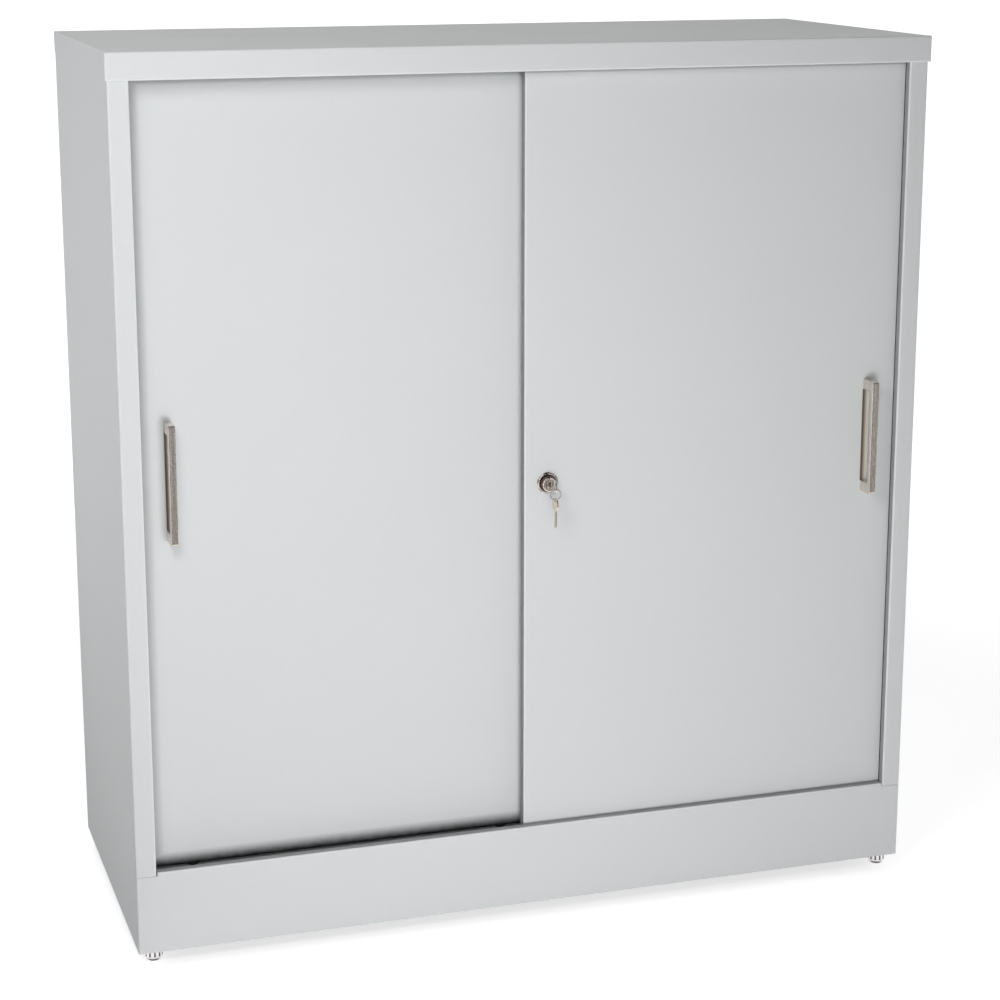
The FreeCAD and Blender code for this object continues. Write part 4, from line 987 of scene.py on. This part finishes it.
# %% [markdown]
# ## Feet
# Four chrome feet show below the plinth: a collar with twelve hollow flutes, a cone down to a
# black sole, and a threaded stud that goes up into the corner bracket. Flutes and thread both
# follow a rule of height and angle, so the foot is turned with a radius that changes as it
# goes round.

# %% Flutes and thread
FLUTES, FLUTE_R, FLUTE_CENTRE_R = 12, 0.0015, 0.0118
FLUTE_SPOTS = (-6.4, -4.8, -3.2, -1.6, 0, 1.6, 3.2, 4.8, 6.4, 10.5, 15.0, 19.5)     # degrees
STUD_R, THREAD_PITCH, THREAD_DEPTH = 0.004, 0.00125, 0.0006
THREAD_LOW, THREAD_HIGH, ROWS_PER_PITCH = 0.0185, 0.0455, 4
foot_angles = [math.radians(360 / FLUTES * flute + spot)
               for flute in range(FLUTES) for spot in FLUTE_SPOTS]


def foot_radius(radius, height, angle):
    """The radius with the thread cut into the stud and the flutes into the collar."""
    if THREAD_LOW < height < THREAD_HIGH and radius == STUD_R:
        turn = (height / THREAD_PITCH - angle / (2 * math.pi)) % 1
        return radius - THREAD_DEPTH * (1 - abs(2 * turn - 1))
    if height > COLLAR_LOW and radius > STUD_R + 0.001:
        pitch = 2 * math.pi / FLUTES
        away = (angle + pitch / 2) % pitch - pitch / 2
        across = FLUTE_CENTRE_R * math.sin(away)
        if abs(across) < FLUTE_R:
            hollow = FLUTE_CENTRE_R * math.cos(away) - math.sqrt(FLUTE_R ** 2 - across ** 2)
            return min(radius, hollow)
    return radius


print("foot", len(foot_angles), "angles round,", FLUTES, "flutes")

# %% Feet
STUD_TOP, STUD_CHAMFER, NECK = 0.0465, 0.0008, 0.0004
CUP_R, CUP_TOP, SOLE_R, SOLE_TOP, SOLE_EDGE = 0.0066, 0.0033, 0.0076, 0.001, 0.0003
# How far the collar's rounded edges lie inside its radius, and below its top or lower edge.
SHOULDER = ((0.0012, 0), (0.0007, 0.0002), (0.0002, 0.0007), (0, 0.0013))
LOWER_EDGE = ((0, -0.0002), (0, 0.0001), (0.0003, 0.0007), (0.0012, 0.0013))
root_r = STUD_R - THREAD_DEPTH
thread_rows = int((THREAD_HIGH - THREAD_LOW) / THREAD_PITCH * ROWS_PER_PITCH)
foot_outline = ([(0, STUD_TOP), (root_r, STUD_TOP), (STUD_R, STUD_TOP - STUD_CHAMFER)]
                + [(STUD_R, THREAD_HIGH - row * THREAD_PITCH / ROWS_PER_PITCH)
                   for row in range(thread_rows)]
                + [(root_r, THREAD_LOW - NECK), (root_r, COLLAR_HIGH)]
                + [(FOOT_R - inside, COLLAR_HIGH - down) for inside, down in SHOULDER]
                + [(FOOT_R - inside, COLLAR_LOW - down) for inside, down in LOWER_EDGE]
                + [(SOLE_R + SOLE_EDGE, SOLE_TOP + 2 * SOLE_EDGE),
                   (SOLE_R, SOLE_TOP + SOLE_EDGE), (SOLE_R - SOLE_EDGE, SOLE_TOP),
                   (CUP_R, SOLE_TOP), (CUP_R, CUP_TOP), (0, CUP_TOP)])
for corner in ("front_left", "front_right", "rear_left", "rear_right"):
    name = f"{corner}_foot"
    at = middle(name)
    foot = turned_mesh(name, foot_outline, (at.x, at.y, 0), Matrix(), foot_angles, foot_radius)
    keep(f"{corner}_fluted_foot", foot, foot_chrome, "foot_chrome", name, name)

# %% [markdown]
# ## Back panel screws
# Ten pan-head screws with cross recesses hold the back panel. One screw is turned and its
# cross is cut out; Geometry Nodes sets it at the ten places.

# %% One screw
SCREW_R, SCREW_LENGTH, SCREW_POINT_R, SCREW_POINT = 0.0019, 0.007, 0.0013, 0.0012
SCREW_HEAD_R, SCREW_HEAD, HEAD_EDGE = 0.004, 0.0022, 0.0006
CROWN_ANGLES = (0, 0.35, 0.7, 1.05, 1.4)                                # radians
CROSS_ARM, CROSS_HALF, CROSS_DEPTH, CROSS_TOP = 0.0021, 0.00045, 0.0013, 0.004


def cross_screw():
    """A screw along +Y, its head's seat at the origin, with a cross cut into the head."""
    crown = [(SCREW_HEAD_R * math.cos(angle),
              HEAD_EDGE + (SCREW_HEAD - HEAD_EDGE) * math.sin(angle)) for angle in CROWN_ANGLES]
    outline = ([(0, -SCREW_LENGTH), (SCREW_POINT_R, -SCREW_LENGTH),
                (SCREW_R, -SCREW_LENGTH + SCREW_POINT), (SCREW_R, 0), (SCREW_HEAD_R, 0)]
               + crown + [(0, SCREW_HEAD)])
    screw = turned_mesh("screw", outline, (0, 0, 0), LONG_Y, even_angles(40))
    for x, z in ((CROSS_ARM, CROSS_HALF), (CROSS_HALF, CROSS_ARM)):
        slot = block_mesh((-x, SCREW_HEAD - CROSS_DEPTH, -z), (x, CROSS_TOP, z))
        screw = cut_away(screw, slot)
    return screw


one_screw = new_object("one_screw", cross_screw())
print("one screw", len(one_screw.data.polygons), "faces")

# %% Tree that sets a piece at points
fastening, given, result = new_tree("set_at_points", Points="Geometry", Piece="Object",
                                    Finish="Material")
piece_info = add_node(fastening, "GeometryNodeObjectInfo", {"Object": given["Piece"]})
as_points = add_node(fastening, "GeometryNodeMeshToPoints", {"Mesh": given["Points"]})
placed = add_node(fastening, "GeometryNodeInstanceOnPoints",
                  {"Points": as_points.outputs["Points"],
                   "Instance": piece_info.outputs["Geometry"]})
close_tree(fastening, placed.outputs["Instances"], given, result)

# %% Screws at their places
SCREWS_PER_SIDE = 5
low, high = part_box("back_panel_screws")
columns = (low.x + SCREW_HEAD_R, high.x - SCREW_HEAD_R)
lowest, highest = low.z + SCREW_HEAD_R, high.z - SCREW_HEAD_R
rows = [lowest + (highest - lowest) * i / (SCREWS_PER_SIDE - 1) for i in range(SCREWS_PER_SIDE)]
places = bpy.data.meshes.new("screw_places")
places.from_pydata([(x, high.y - SCREW_HEAD, z) for x in columns for z in rows], [], [])
back_screws = run_tree(fastening, places, Piece=one_screw, Finish=zinc)
bpy.data.objects.remove(one_screw)
keep("cross_head_screws", back_screws, zinc, "zinc_steel", "root", "back_panel_screws")

# %% [markdown]
# ## Cards
# Polished metal shows its surroundings, and in an all-white room it would look like paper.
# In a studio, black and white cards stand beside it for that. These cards are seen by mirror
# rays only: they cast no shadow, take no light from the paint, and the camera doesn't see
# them. A dark wall with upright white strips gives the lock its streaks, and blurs to a middle
# grey in the satin handles.

# %% Cards
ROOM_LEFT, ROOM_RIGHT, ROOM_FRONT, ROOM_BACK = -1.1, 2.6, -1.9, 0.2
ROOM_LOW, ROOM_TOP, OVER_FLOOR = 0.02, 2.4, 0.012
STRIPS, FIRST_STRIP, STRIP_PITCH, STRIP_WIDE, STRIP_PROUD = 7, 0.2, 0.5, 0.17, 0.02


def card_material(name, colour):
    made, tree = bare_material(name)
    shine = add_node(tree, "ShaderNodeEmission", {"Color": (*colour, 1), "Strength": 1.0})
    add_node(tree, "ShaderNodeOutputMaterial", {"Surface": shine.outputs[0]})
    return made


def card(name, material, corners):
    made = four_corners(name, corners, material)
    made.visible_camera = made.visible_diffuse = False
    made.visible_shadow = made.visible_transmission = False
    print("card", name)


def wall(name, material, left, right, front):
    card(name, material, [(left, front, ROOM_LOW), (right, front, ROOM_LOW),
                          (right, front, ROOM_TOP), (left, front, ROOM_TOP)])


def level_card(name, material, left, back, height):
    card(name, material, [(left, ROOM_FRONT, height), (ROOM_RIGHT, ROOM_FRONT, height),
                          (ROOM_RIGHT, back, height), (left, back, height)])


black_card = card_material("black_card", (0.045, 0.026, 0.028))
grey_card = card_material("grey_card", (0.30, 0.28, 0.28))
white_card = card_material("white_card", (1.0, 1.0, 1.0))
wall("front_wall", black_card, ROOM_LEFT, ROOM_RIGHT, ROOM_FRONT)
for i in range(STRIPS):
    start = ROOM_LEFT + FIRST_STRIP + i * STRIP_PITCH
    wall(f"white_strip_{i}", white_card, start, start + STRIP_WIDE, ROOM_FRONT + STRIP_PROUD)
card("right_wall", black_card, [(ROOM_RIGHT, y, z) for y, z in (
    (ROOM_FRONT, ROOM_LOW), (ROOM_BACK, ROOM_LOW), (ROOM_BACK, ROOM_TOP),
    (ROOM_FRONT, ROOM_TOP))])
level_card("black_ceiling", black_card, -0.7, -0.3, ROOM_TOP)
level_card("grey_floor", grey_card, ROOM_LEFT, -0.75, OVER_FLOOR)
